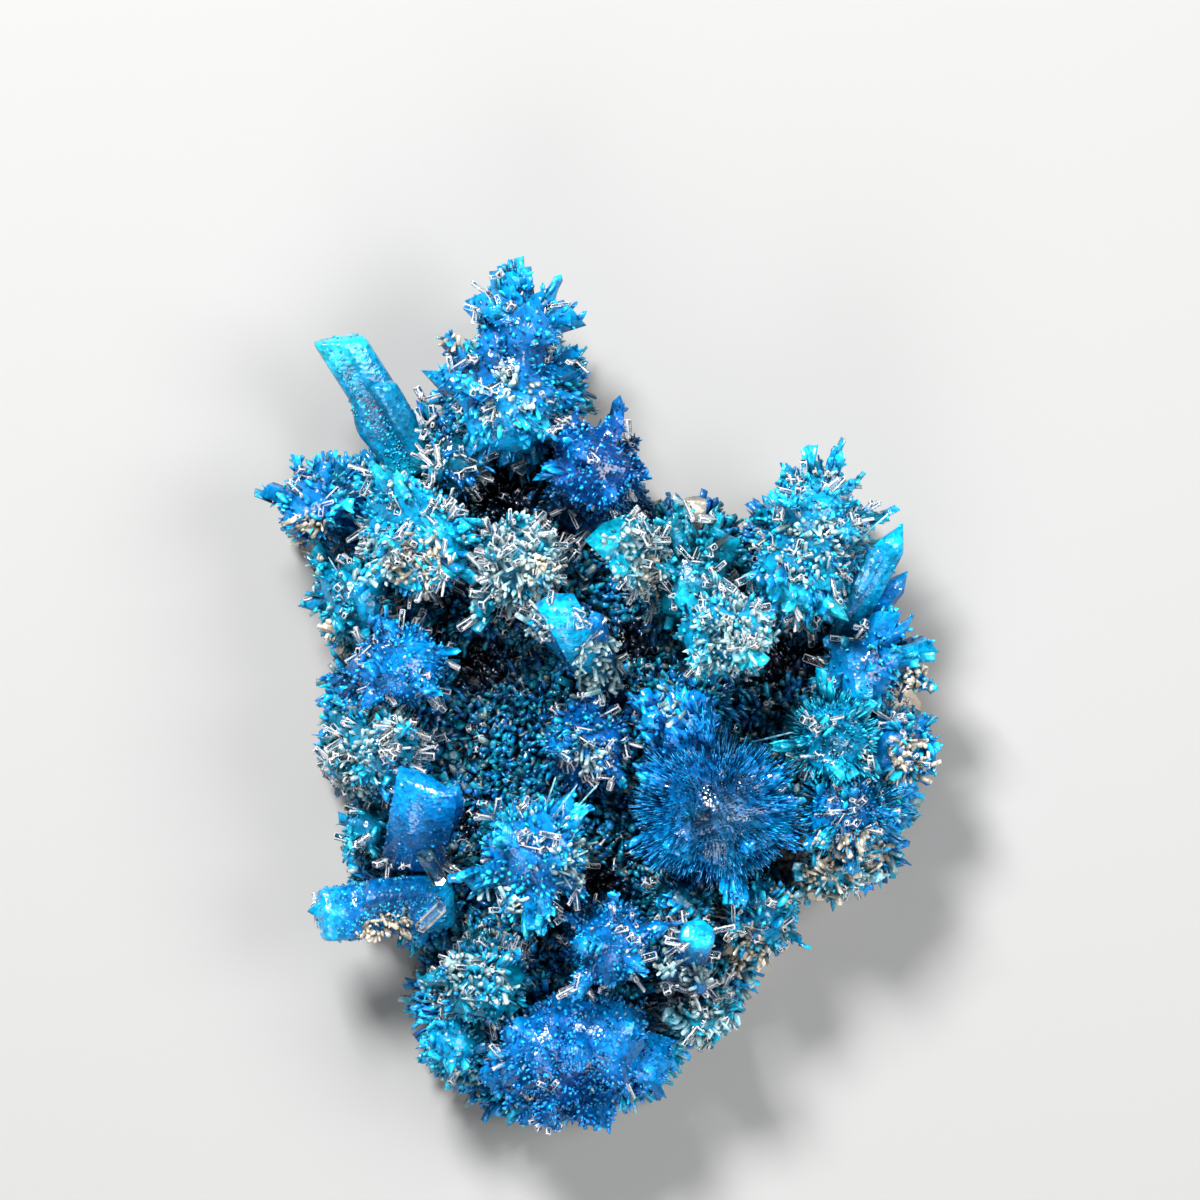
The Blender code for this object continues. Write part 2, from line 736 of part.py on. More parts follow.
def spray(name, collection):
    """Join the bursts of one spray, each kept inside its own space."""
    details = SPRAYS[name]
    strangers = [
        other_burst
        for other_name, other in SPRAYS.items()
        if other_name != name
        for other_burst in other["bursts"]
    ]
    joined = None
    for number, one_burst in enumerate(details["bursts"]):
        made = burst(f"{name}_{number}", one_burst, details["seed"] + BURST_SEED_STEP * number, collection)
        space = cell(one_burst, strangers, collection)
        combine(made, "INTERSECT", space)
        remove(space)
        if joined is None:
            joined = made
        else:
            combine(joined, "UNION", made)
            remove(made)
    joined.name = name
    return joined


def near(one, other, margin):
    """True where the boxes around two objects come within a margin of each other."""
    for axis in range(3):
        one_values = [corner[axis] for corner in one.bound_box]
        other_values = [corner[axis] for corner in other.bound_box]
        if min(one_values) > max(other_values) + margin or min(other_values) > max(one_values) + margin:
            return False
    return True


def centre_over_origin(nodes):
    """Move the nodes together so that the middle of their box is over the origin."""
    corners = [node.matrix_world @ Vector(corner) for node in nodes for corner in node.bound_box]
    middle = [0.5 * (min(c[axis] for c in corners) + max(c[axis] for c in corners)) for axis in range(2)]
    for node in nodes:
        node.location = (-middle[0], -middle[1], 0.0)


def crystal_material(name, colour):
    """Give a node its own glossy crystal colour."""
    material = bpy.data.materials.new(name)
    material.use_nodes = True
    surface = material.node_tree.nodes["Principled BSDF"]
    surface.inputs["Base Color"].default_value = (*colour, 1.0)
    surface.inputs["Roughness"].default_value = CRYSTAL_GLOSS
    surface.inputs["Metallic"].default_value = 0.0
    material.diffuse_color = (*colour, 1.0)
    return material


def build():
    """Make the rock, the single crystals and the sprays."""
    for old in list(bpy.data.objects):
        bpy.data.objects.remove(old, do_unlink=True)
    specimen = new_collection("pentagonite_with_calcite")
    steps = new_collection("steps")

    finished = {}
    finished["calcite_matrix"] = (rock("calcite_matrix", 0.0, specimen), ROCK)
    rock_space = rock("rock_space", GAP, steps)

    crystal_spaces = []
    for name, details in CRYSTALS.items():
        group = crystal_group(name, 0.0, specimen)
        unite_self(group, steps)
        combine(group, "DIFFERENCE", rock_space)
        largest_body(group)
        for space in crystal_spaces:
            if near(group, space, 0.0):
                combine(group, "DIFFERENCE", space, overlapping=True)
                largest_body(group)
        finished[name] = (group, details["colour"])
        crystal_spaces.append(crystal_group(name, GAP, steps))

    for name, details in SPRAYS.items():
        joined = spray(name, specimen)
        combine(joined, "DIFFERENCE", rock_space)
        for space in crystal_spaces:
            if near(joined, space, 0.0):
                combine(joined, "DIFFERENCE", space, overlapping=True)
        largest_body(joined)
        finished[name] = (joined, details["colour"])

    for name, (node, colour) in finished.items():
        node.data.materials.clear()
        node.data.materials.append(crystal_material(f"{name}_surface", colour))
    for space in [rock_space, *crystal_spaces]:
        remove(space)
    centre_over_origin([node for node, colour in finished.values()])
    bpy.data.collections.remove(steps)


build()
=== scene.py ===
"""Looks of the pentagonite with calcite: fine crystals grown over the solids of the part.

Lengths are in metres. Where a comment says millimetres, the places and sizes are in the
part's own frame, and MM turns them into metres.
"""

import math

import bpy
import numpy as np
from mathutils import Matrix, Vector
from mathutils.bvhtree import BVHTree
from mathutils.noise import fractal, noise as smooth_noise


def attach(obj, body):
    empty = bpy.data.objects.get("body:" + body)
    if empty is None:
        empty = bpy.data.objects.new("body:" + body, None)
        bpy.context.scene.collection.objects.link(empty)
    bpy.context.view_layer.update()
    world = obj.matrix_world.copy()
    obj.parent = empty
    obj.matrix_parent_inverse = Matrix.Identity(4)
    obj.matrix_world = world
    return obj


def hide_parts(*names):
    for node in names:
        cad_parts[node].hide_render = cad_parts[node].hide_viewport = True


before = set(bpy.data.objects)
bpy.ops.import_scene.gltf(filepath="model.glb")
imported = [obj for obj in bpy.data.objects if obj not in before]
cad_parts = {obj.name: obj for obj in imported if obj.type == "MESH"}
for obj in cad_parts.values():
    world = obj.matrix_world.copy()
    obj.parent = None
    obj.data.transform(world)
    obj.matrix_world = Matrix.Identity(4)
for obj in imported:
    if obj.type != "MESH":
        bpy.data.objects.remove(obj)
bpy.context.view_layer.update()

MM = 0.001
SEED = 5146

# Camera, floor and light.
CAMERA_DISTANCE = 0.600
SENSOR_WIDTH = 36.0
VIEW_WIDTH = 0.066
VIEW_CENTRE_Y = 0.0052
MIDDLE_HEIGHT = 0.008
NEAR_CLIP = 0.01
FLOOR_HALF = 0.6
FLOOR_COLOUR = (0.31, 0.31, 0.305, 1.0)
FLOOR_ROUGHNESS = 0.8
SKY_COLOUR = (0.80, 0.82, 0.85, 1.0)
SKY_STRENGTH = 0.19

# Each lamp has a name, a place, a size and a power in watts.
LAMPS = (
    ("key", (-0.10, 0.20, 0.28), 0.09, 2.7),
    ("fill", (0.20, 0.02, 0.24), 0.16, 0.85),
    ("low", (-0.04, -0.24, 0.18), 0.16, 0.45),
)

# Nodes with a look of their own.
ROCK_NODE = "calcite_matrix"
SUN_NODE = "sunburst"
CREAM_NODE = "cream_calcite_crystal"
CLEAR_NODES = ("large_calcite_prism", "small_calcite_prism")
ROUNDED_NODES = ("upper_left_finger", "lower_left_finger", "lower_stub")
ROUNDING_VOXEL = 0.14 * MM
ROUNDING_PASSES = 45

# Surface of the rock: wide lumps and small grains, as shares of one swell.
ROCK_VOXEL = 0.38 * MM
ROCK_SWELL = 0.22 * MM
LUMP_WAVES_PER_MM = 0.55
LUMP_SMOOTHNESS = 0.9
LUMP_STEP = 2.0
LUMP_OCTAVES = 4
LUMP_SHARE = 1.3
GRAIN_WAVES_PER_MM = 2.6
GRAIN_SHARE = 0.8
FLAT_CUT_TOP = 0.3 * MM
BARE_FOOT_TOP = 2.4 * MM
BARE_FOOT_BLEND = 1.2 * MM
# The dark blue druse that covers the rock, kept near-black as painted shade between the sprays.
COVER_AND_SHADE_COLOUR = np.array((0.000, 0.105, 0.270))
BARE_COLOUR = np.array((0.95, 0.88, 0.78))

# How much light reaches the valleys, the edge, the hollows and the sunburst's middle.
VALLEY_FLOOR = 5.4 * MM
VALLEY_RIM = 11.2 * MM
VALLEY_LIGHT = 0.42
EDGE_LIGHT = 0.85
OUTLINE_HALF_X = 18.0 * MM
OUTLINE_HALF_Y = 23.0 * MM
EDGE_START = 0.60
EDGE_BAND = 0.30
HOLLOW_TOP = 11.5 * MM
HOLLOW_DEPTH = 3.0 * MM
HOLLOW_DARKNESS = 0.84
CIRCLE_SHARPNESS = 4
SUN_RADIUS = 3.6 * MM
SUN_CORE_LIGHT = 0.20
SUN_FADE = 1.4
DARKEST_VARIETY = 0.50

# The hollows between the groups, where shade is painted: middle across, middle along and radius, in
# millimetres.
HOLLOWS = (
    (-5.4, 11.0, 1.6),
    (-2.2, 9.4, 1.1),
    (-6.4, 1.6, 1.7),
    (1.7, 2.4, 1.2),
    (9.6, 1.6, 1.6),
    (12.0, 2.4, 1.1),
    (-0.4, -10.4, 1.3),
    (-7.6, -6.6, 0.8),
)

# Where the pale rock is bare: middle across, middle along and radius, in millimetres.
BARE_PATCHES = (
    (17.4, -0.6, 1.8),
    (12.6, -9.6, 3.4),
    (8.6, -13.8, 2.2),
    (-14.0, -13.4, 2.0),
    (-14.8, 2.4, 1.6),
)

# Sugary crusts over the blue crystals: across, along and radius in millimetres, number of
# crystals and palette.
CRUSTS = (
    (-4.1, 3.6, 1.4, 110, "white"),
    (0.2, 1.6, 1.6, 120, "white"),
    (7.4, 3.0, 2.0, 130, "white"),
    (-12.4, 7.4, 1.6, 80, "white"),
    (-9.8, 7.2, 1.7, 80, "cream"),
    (-4.4, 7.0, 2.2, 120, "white"),
    (-3.4, 6.4, 1.2, 50, "cream"),
    (1.6, 7.2, 2.0, 80, "white"),
    (2.6, 6.8, 0.9, 30, "cream"),
    (-5.8, -12.0, 1.6, 120, "white"),
    (-5.4, -12.4, 1.0, 40, "cream"),
    (-1.4, -9.2, 1.1, 60, "white"),
    (4.2, -15.6, 1.5, 80, "white"),
    (-11.8, -1.4, 1.1, 50, "white"),
    (-13.6, -3.8, 1.8, 70, "white"),
    (-6.6, -15.2, 2.0, 90, "white"),
    (11.4, -9.8, 2.2, 150, "cream"),
    (14.2, -9.2, 1.8, 120, "cream"),
    (17.4, 0.4, 1.1, 70, "cream"),
    (17.0, -3.6, 1.2, 60, "cream"),
    (-5.2, 16.2, 1.7, 50, "white"),
    (-16.2, 8.6, 1.5, 90, "cream"),
    (5.2, -18.0, 1.6, 60, "white"),
    (7.8, -14.2, 1.5, 70, "cream"),
    (-11.6, -13.6, 1.6, 130, "cream"),
    (-15.4, 2.6, 1.4, 70, "cream"),
    (11.4, 8.0, 2.0, 70, "white"),
    (-0.6, -3.0, 1.0, 40, "white"),
    (3.8, -0.6, 0.9, 40, "white"),
    (-8.6, 19.2, 0.9, 30, "cream"),
)
CRUST_LENGTH = (0.25, 1.00)
CRUST_WIDTH = (0.12, 0.32)
CRUST_SINK = 0.1 * MM
CRUST_LEAN = 0.9
CRUST_LOWEST = 3.0 * MM

# Each palette runs from the root of a crystal, through its body, to its tip. The dark roots are painted
# shade where the crystals crowd together, and the bright tips are partly the thin crystal's paler
# colour and partly painted light.
PALETTES = {
    "azure": ((0.000, 0.040, 0.180), (0.000, 0.240, 0.720), (0.000, 0.500, 0.960)),
    "deep": ((0.000, 0.014, 0.100), (0.000, 0.115, 0.460), (0.000, 0.310, 0.840)),
    "cyan": ((0.000, 0.080, 0.200), (0.000, 0.380, 0.740), (0.020, 0.740, 0.960)),
    "teal": ((0.000, 0.040, 0.080), (0.000, 0.210, 0.380), (0.000, 0.470, 0.700)),
    "pale": ((0.000, 0.130, 0.220), (0.080, 0.440, 0.640), (0.450, 0.800, 0.900)),
    # The near-black palette paints the shade in the hollows.
    "hollow_shade": ((0.000, 0.002, 0.008), (0.000, 0.012, 0.060), (0.000, 0.070, 0.220)),
    "white": ((0.020, 0.160, 0.240), (0.120, 0.360, 0.430), (0.560, 0.700, 0.700)),
    "cream": ((0.200, 0.200, 0.160), (0.480, 0.420, 0.320), (0.800, 0.740, 0.620)),
}


def group_look(
    main, second, fine, broad=0, white=0.05, clear=1.0,
    length=(0.12, 0.60), width=(0.12, 0.40), radial=0.5,
):
    """Say how one group of crystals is dressed; lengths and widths are in millimetres.

    It has two palettes, the numbers of fine crystals and broad blades, the share of white
    ones, how thickly colourless prisms stand on it, and how far its crystals fan out.
    """
    return dict(
        main=main, second=second, fine=fine, broad=broad, white=white, clear=clear,
        length=length, width=width, radial=radial,
    )


BALL_NEEDLES = dict(length=(0.3, 0.8), width=(0.07, 0.16), radial=0.95)
SUN_FIBRES = dict(length=(0.5, 1.1), width=(0.05, 0.11), radial=1.0)
SUGAR = dict(length=(0.03, 0.12), width=(0.12, 0.30), radial=0.0)
SHORT_CRYSTALS = dict(length=(0.05, 0.35), width=(0.12, 0.34))

SPRAY_LOOKS = {
    "crown_spray": group_look("azure", "cyan", 640, 50, 0.03, clear=0.5),
    "crown_foot_spray": group_look("teal", "deep", 300, 12, 0.10, clear=2.5),
    "round_lobe": group_look("deep", "azure", 900, 16, 0.02, clear=0.5, **SHORT_CRYSTALS),
    "upper_middle_blades": group_look("teal", "cyan", 240, 20, 0.04, clear=0.8),
    "right_tower": group_look("cyan", "azure", 800, 44, 0.08, clear=1.4),
    "right_blade_fan": group_look("azure", "cyan", 260, 34, 0.04, clear=0.6),
    "right_edge_lobe": group_look("azure", "cyan", 300, 18, 0.10, clear=0.6),
    "upper_right_ball": group_look("cyan", "teal", 1100, 24, 0.05, clear=0.8, **BALL_NEEDLES),
    "lower_right_ball": group_look("azure", "teal", 1100, 24, 0.05, clear=0.9, **BALL_NEEDLES),
    "sunburst": group_look("azure", "deep", 4200, 70, 0.00, clear=0.05, **SUN_FIBRES),
    "encrusted_stump": group_look("teal", "pale", 480, 20, 0.25, clear=2.2),
    "pale_lump": group_look("cyan", "pale", 460, 24, 0.20, clear=1.2),
    "far_left_spray": group_look("azure", "cyan", 300, 30, 0.06, clear=1.0),
    "upper_left_cluster": group_look("cyan", "azure", 620, 34, 0.12, clear=1.8),
    "left_edge_spray": group_look("cyan", "teal", 380, 26, 0.10, clear=1.2),
    "left_middle_spray": group_look("azure", "deep", 900, 24, 0.03, clear=0.7, **SHORT_CRYSTALS),
    "left_lower_spray": group_look("teal", "azure", 520, 26, 0.20, clear=1.6),
    "left_low_lobe": group_look("cyan", "teal", 240, 20, 0.05, clear=0.6),
    "pointed_cluster": group_look("azure", "cyan", 800, 60, 0.06, clear=0.6, radial=0.8),
    "middle_cluster": group_look("deep", "teal", 480, 30, 0.06, clear=1.8),
    "lower_lump": group_look("azure", "deep", 900, 20, 0.02, clear=0.5, **SHORT_CRYSTALS),
    "lower_middle_spray": group_look("teal", "azure", 340, 24, 0.08, clear=1.2),
    "bottom_mass": group_look("deep", "azure", 1900, 8, 0.02, clear=0.3, **SHORT_CRYSTALS),
    "bottom_ring": group_look("teal", "azure", 620, 26, 0.20, clear=1.6),
    "bottom_left_lobe": group_look("cyan", "azure", 360, 12, 0.05, clear=0.3, **SHORT_CRYSTALS),
    "lower_right_lobe": group_look("cyan", "azure", 480, 24, 0.12, clear=1.0),
    "lower_right_crust": group_look("teal", "pale", 340, 20, 0.30, clear=1.0),
    "pale_band_spray": group_look("teal", "pale", 340, 20, 0.30, clear=1.0),
}

CRYSTAL_LOOKS = {
    "upper_left_finger": group_look("cyan", "azure", 900, 0, 0.04, clear=0.0, **SUGAR),
    "right_finger": group_look("azure", "cyan", 60, 0, 0.10, clear=0.0, **SUGAR),
    "lower_left_finger": group_look("azure", "cyan", 1100, 0, 0.05, clear=0.12, **SUGAR),
    "big_slab": group_look("deep", "azure", 160, 0, 0.10, clear=0.3, **SUGAR),
    "centre_prism": group_look("azure", "azure", 60, 0, 0.40, clear=0.8, **SUGAR),
    "crusted_blade": group_look("teal", "pale", 320, 0, 0.25, clear=1.5, **SHORT_CRYSTALS),
    "lower_stub": group_look("azure", "cyan", 120, 0, 0.30, clear=0.6, **SUGAR),
}
LOOKS = {**SPRAY_LOOKS, **CRYSTAL_LOOKS}

# Form of one grown crystal.
NEAR_UPRIGHT = 0.9
SHOULDER_TAPER = 0.94
SHOULDER_SHARE = 0.72
POINTED_SHARE = 0.6
POINT_LENGTH = (0.15, 0.4)
FLAT_TIP = 0.02
TIP_SLANT = (-0.5, 0.5)
FLATNESS = (0.35, 0.8)
ROOT_SINK = 0.12 * MM
FINE_SIDES = 4
BROAD_SIDES = 6
DIRECTION_SPREAD = 0.5
FULL_SPREAD = 1.2

# Where the fine crystals of a group stand: on free surface, few at the clean tips.
RAY_LIFT = 0.02 * MM
WALL_REACH = 0.7 * MM
UNDERSIDE = -0.75
SPARE_POINTS = 2
MIDDLE_DROP = 1.0 * MM
TIP_PERCENTILE = 98
TIP_START = 0.62
TIP_BAND = 0.38
CLEAN_TIPS = 0.85
SECOND_FROM = 0.65
CORE_VARIETY = 0.3
CREAM_VARIETY = 0.5
SOLID_PERCENTILE = 92
SOLID_FADE = 1.5
WELD_DECIMALS = 8

# Broad blades at the tips of a group; lengths and widths are in millimetres.
BROAD_BLADE = dict(length=(0.7, 1.5), width=(0.35, 0.95), flatness=(0.18, 0.40))
BROAD_TIMES = 1.6
BROAD_START = 0.275
BROAD_RADIAL = 0.8
BROAD_SINK = 0.5

# The sunburst: its middle and the size of its ball of fibres are in millimetres.
SUN_MIDDLE = (6.4, -6.4)
SUN_HEIGHT = 8.4
SUN_BALL = 4.4
SUN_FIBRES_PER_CRYSTAL = 3
BESIDE_SUN = dict(length=(0.15, 0.7), width=(0.14, 0.42))
BESIDE_SUN_RADIAL = 0.5

# The druse on the rock; its lengths and widths are in millimetres.
VALLEY_CRYSTALS = 13000
VALLEY_SPARE = 3
VALLEY_LOOK = dict(length=(0.35, 1.5), width=(0.20, 0.62))
VALLEY_LOWEST = 1.5 * MM
VALLEY_REACH = 0.3 * MM
VALLEY_LEAN = 0.7
HOLLOW_EDGE = 0.4

# Each palette of the druse takes the random draws below its limit, and white the rest.
VALLEY_MIX = (("deep", 0.22), ("azure", 0.52), ("teal", 0.76), ("cyan", 0.90))

# The colourless prisms; lengths, widths and rims are in millimetres.
CLEAR_PRISMS = 2700
CLEAR_DRAWS = 3000
CLEAR_SPARE = 3
CLEAR_UNDERSIDE = -0.3
CLEAR_LOWEST = 3.0 * MM
CLEAR_REACH = 0.8 * MM
CLEAR_UPRIGHT = 0.6
CLEAR_LENGTH = (0.35, 1.40)
CLEAR_WIDTH = (0.20, 0.46)
CLEAR_RIM = 0.055
ROCK_CLEAR_SHARE = 3.6
SHEAF_SIZE = 3
SHEAF_SPREAD = 0.12
SHEAF_SINK = 0.10
GLASS_BEVEL = 0.09 * MM
GLASS_BEVEL_STEPS = 2

# A tablet has three rings of eight corners, each with its share of the palette.
TABLET_FLATNESS = (0.5, 0.9)
RING_CORNERS = 8
RING_SHARES = (0.4, 0.8, 1.0)
TABLET_CORNERS = RING_CORNERS * len(RING_SHARES)

# Long thin needles, each from its root to its tip, in millimetres.
NEEDLES = (
    ((-2.6, -7.6, 13.6), (0.0, -4.7, 14.2)),
    ((-3.0, -7.2, 13.4), (-1.2, -4.8, 14.0)),
    ((-3.2, -6.8, 13.2), (-2.4, -4.4, 13.8)),
    ((13.4, 7.8, 8.6), (15.9, 10.0, 9.2)),
    ((-7.0, 3.6, 8.6), (-5.2, 5.4, 11.6)),
    ((-13.4, 5.0, 8.8), (-14.9, 7.6, 10.2)),
    ((-9.4, -6.2, 9.0), (-7.6, -4.6, 11.6)),
    ((8.2, -2.6, 11.4), (10.6, -2.0, 12.2)),
)
NEEDLE_WIDTH = 0.11
NEEDLE_TIP = 0.1
NEEDLE_SIDES = 6
ABOVE_ALL = 0.05

# Patterns of the materials, in waves per metre, and the spans that they are mapped to.
CLOUD_SCALE = 900.0
CLOUD_DETAIL = 3.0
CLOUD_SPAN = (0.3, 0.7)
CLOUD_LIGHT = (0.62, 1.25)
CLOUD_ROUGH_SPAN = (0.35, 0.65)
SMOOTHEST = 0.6
ROUGHEST = 1.6
# The fine grains' cells are lighter and darker cell by cell: partly random tone, partly painted glints
# of tiny facets.
GRAIN_SCALE = 4200.0
GRAIN_SPAN = (0.0, 1.0)
GRAIN_TONE_AND_GLINT = (0.45, 1.50)
GRAIN_BUMP = 0.5
GRAIN_HEIGHT = 0.06 * MM
VEIL_SCALE = 1400.0
VEIL_DETAIL = 3.0
VEIL_SPAN = (0.45, 0.7)
VEIL_ROUGHNESS = (0.02, 0.22)
STAIN_SCALE = 260.0
STAIN_DETAIL = 6.0
STAIN_STOPS = ((0.35, (0.42, 0.36, 0.30, 1.0)), (0.62, (0.90, 0.87, 0.82, 1.0)))
ROCK_ROUGHNESS = 0.62
ROCK_GRAIN_SCALE = 1800.0
ROCK_GRAIN_BUMP = 0.6
ROCK_GRAIN_HEIGHT = 0.1 * MM
PENTAGONITE_IOR = 1.55
CALCITE_IOR = 1.57
CALCITE_COLOUR = (0.97, 0.985, 1.0, 1.0)

# Roughness and share of transmission of each blue finish, then transmission of the clear ones; the
# rims' lower transmission makes them whiter, as painted edge highlights.
BLUE_FINISH = (0.20, 0.12)
PALE_FINISH = (0.26, 0.20)
DRUSE_FINISH = (0.22, 0.0)
GLASS_TRANSMISSION = 1.0
RIM_TRANSMISSION = 0.55


def random_unit(chance, count):
    """Return directions spread evenly over a sphere."""
    wild = chance.normal(size=(count, 3))
    return wild / np.linalg.norm(wild, axis=1, keepdims=True)


def unit(vectors):
    """Scale each vector to length one."""
    return vectors / np.maximum(np.linalg.norm(vectors, axis=1, keepdims=True), 1e-12)


def node_triangles(node):
    """Return a node's triangles as an array of corners in world space."""
    mesh = node.data
    mesh.calc_loop_triangles()
    points = np.empty(len(mesh.vertices) * 3)
    mesh.vertices.foreach_get("co", points)
    corners = np.empty(len(mesh.loop_triangles) * 3, dtype=np.int32)
    mesh.loop_triangles.foreach_get("vertices", corners)
    return points.reshape(-1, 3)[corners.reshape(-1, 3)]


def scatter(triangles, count, chance):
    """Pick points spread evenly over triangles, with their normals."""
    first = triangles[:, 1] - triangles[:, 0]
    second = triangles[:, 2] - triangles[:, 0]
    normals = np.cross(first, second)
    doubled_areas = np.linalg.norm(normals, axis=1)
    chosen = chance.choice(len(triangles), size=count, p=doubled_areas / doubled_areas.sum())
    along = chance.random((count, 1))
    across = chance.random((count, 1))
    flip = (along + across) > 1.0
    along = np.where(flip, 1.0 - along, along)
    across = np.where(flip, 1.0 - across, across)
    points = triangles[chosen, 0] + along * first[chosen] + across * second[chosen]
    return points, unit(normals[chosen])


def triangle_area(triangles):
    """Return the whole area of some triangles."""
    first = triangles[:, 1] - triangles[:, 0]
    second = triangles[:, 2] - triangles[:, 0]
    return np.linalg.norm(np.cross(first, second), axis=1).sum() / 2.0


def world_tree():
    """Build one search tree over every solid of the part."""
    points = []
    faces = []
    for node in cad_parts.values():
        triangles = node_triangles(node)
        starts = range(len(points), len(points) + 3 * len(triangles), 3)
        points.extend(map(tuple, triangles.reshape(-1, 3)))
        faces.extend((start, start + 1, start + 2) for start in starts)
    return BVHTree.FromPolygons(points, faces)


def open_points(tree, points, normals, reach):
    """Say which points have free space in front of them."""
    free = []
    for point, normal in zip(points, normals):
        start = Vector(point) + Vector(normal) * RAY_LIFT
        hit = tree.ray_cast(start, Vector(normal), reach)
        free.append(hit[0] is None)
    return np.array(free)


def highest_points(tree, across, along):
    """Drop points straight down on the solids; return where they land and the normals."""
    places = []
    normals = []
    for x, y in zip(across, along):
        place, normal, _, _ = tree.ray_cast(Vector((x, y, ABOVE_ALL)), Vector((0.0, 0.0, -1.0)))
        if place is not None:
            places.append(tuple(place))
            normals.append(tuple(normal))
    return np.array(places), np.array(normals)


def cross_axes(directions, chance):
    """Return two axes across each crystal, turned at random about its length."""
    helper = np.where(np.abs(directions[:, 2:3]) < NEAR_UPRIGHT, [[0.0, 0.0, 1.0]], [[1.0, 0.0, 0.0]])
    side_axis = unit(np.cross(helper, directions))
    front_axis = np.cross(directions, side_axis)
    turn = chance.uniform(0.0, math.pi, (len(directions), 1))
    wide = side_axis * np.cos(turn) + front_axis * np.sin(turn)
    thin = -side_axis * np.sin(turn) + front_axis * np.cos(turn)
    return wide, thin


def crystals(roots, directions, lengths, widths, thicknesses, tips, slants, sides, chance):
    """Return vertices, faces and tip shares of many closed prisms, and the corners of each.

    A crystal is a ring of corners at its root, a ring at its shoulder and an apex.
    """
    count = len(roots)
    wide, thin = cross_axes(directions, chance)
    angles = 2.0 * np.pi * (np.arange(sides) + 0.5) / sides
    ring_x = np.cos(angles)[None, :, None] * widths[:, None, None] * 0.5
    ring_y = np.sin(angles)[None, :, None] * thicknesses[:, None, None] * 0.5
    ring = ring_x * wide[:, None, :] + ring_y * thin[:, None, :]
    shoulder = lengths * (1.0 - tips)
    slope = ring_x * slants[:, None, None]
    bottom = roots[:, None, :] + ring
    rise = (shoulder[:, None, None] + slope) * directions[:, None, :]
    top = roots[:, None, :] + ring * SHOULDER_TAPER + rise
    apex = roots + lengths[:, None] * directions
    vertices = np.concatenate([bottom, top, apex[:, None, :]], axis=1)
    per = 2 * sides + 1
    pattern = []
    for corner in range(sides):
        following = (corner + 1) % sides
        pattern.append((corner, following, sides + following))
        pattern.append((corner, sides + following, sides + corner))
        pattern.append((sides + corner, sides + following, 2 * sides))
    for corner in range(1, sides - 1):
        pattern.append((0, corner + 1, corner))
    faces = (np.arange(count)[:, None, None] * per + np.array(pattern)[None]).reshape(-1, 3)
    share = np.concatenate([np.zeros(sides), np.full(sides, SHOULDER_SHARE), [1.0]])
    return vertices.reshape(-1, 3), faces, np.tile(share, count), per


def tablets(roots, directions, lengths, widths, thicknesses, chance):
    """Return stubby prisms with narrow rims along their edges, and which faces are rims."""
    count = len(roots)
    wide, thin = cross_axes(directions, chance)
    rims = np.full(count, CLEAR_RIM * MM)
    outline = ((1, 0), (0, 1), (0, 1), (-1, 0), (-1, 0), (0, -1), (0, -1), (1, 0))
    signs = ((1, 1), (1, 1), (-1, 1), (-1, 1), (-1, -1), (-1, -1), (1, -1), (1, -1))
    rings = []
    for height, inset in ((0.0, 0.0), (1.0, 0.0), (1.0, 1.0)):
        along = lengths * height - rims * (height - inset * height)
        ring = []
        for (face_x, face_y), (sign_x, sign_y) in zip(outline, signs):
            half_x = widths * 0.5 - rims * (0.0 if face_x else 1.0) - rims * inset
            half_y = thicknesses * 0.5 - rims * (0.0 if face_y else 1.0) - rims * inset
            ring.append(
                roots
                + wide * (sign_x * np.maximum(half_x, 0.0))[:, None]
                + thin * (sign_y * np.maximum(half_y, 0.0))[:, None]
                + directions * along[:, None]
            )
        rings.append(np.stack(ring, axis=1))
    vertices = np.concatenate(rings, axis=1)
    pattern = []
    rim_face = []
    for level in (0, RING_CORNERS):
        above = level + RING_CORNERS
        for corner in range(RING_CORNERS):
            following = (corner + 1) % RING_CORNERS
            pattern.append((level + corner, level + following, above + following))
            pattern.append((level + corner, above + following, above + corner))
            narrow = level > 0 or corner % 2 == 0
            rim_face.extend((narrow, narrow))
    lid = 2 * RING_CORNERS
    for corner in range(1, RING_CORNERS - 1):
        pattern.append((lid, lid + corner, lid + corner + 1))
        rim_face.append(False)
        pattern.append((0, corner + 1, corner))
        rim_face.append(False)
    starts = np.arange(count)[:, None, None] * TABLET_CORNERS
    faces = (starts + np.array(pattern)[None]).reshape(-1, 3)
    return vertices.reshape(-1, 3), faces, np.tile(rim_face, count)


def build_mesh(name, parts, materials):
    """Join parts, each of vertices, faces, colours and a material number, in one object."""
    points = np.concatenate([part["points"] for part in parts])
    colours = np.concatenate([part["colours"] for part in parts])
    starts = np.cumsum([0] + [len(part["points"]) for part in parts[:-1]])
    faces = np.concatenate([part["faces"] + start for part, start in zip(parts, starts)])
    slots = np.concatenate([np.full(len(part["faces"]), part["slot"]) for part in parts])
    mesh = bpy.data.meshes.new(name)
    mesh.vertices.add(len(points))
    mesh.vertices.foreach_set("co", points.astype(np.float32).ravel())
    mesh.loops.add(len(faces) * 3)
    mesh.loops.foreach_set("vertex_index", faces.astype(np.int32).ravel())
    mesh.polygons.add(len(faces))
    mesh.polygons.foreach_set("loop_start", np.arange(0, len(faces) * 3, 3, dtype=np.int32))
    mesh.polygons.foreach_set("material_index", slots.astype(np.int32))
    add_shaded_tint(mesh, colours)
    mesh.update(calc_edges=True)
    mesh.validate()
    for material in materials:
        mesh.materials.append(material)
    made = bpy.data.objects.new(name, mesh)
    bpy.context.scene.collection.objects.link(made)
    return made


def add_shaded_tint(mesh, colours):
    """Store one colour for each vertex, with its painted light and shade, for the materials to read."""
    shaded_tint = mesh.color_attributes.new("shaded_tint", "FLOAT_COLOR", "POINT")
    with_alpha = np.concatenate([colours, np.ones((len(colours), 1))], axis=1)
    shaded_tint.data.foreach_set("color", with_alpha.astype(np.float32).ravel())


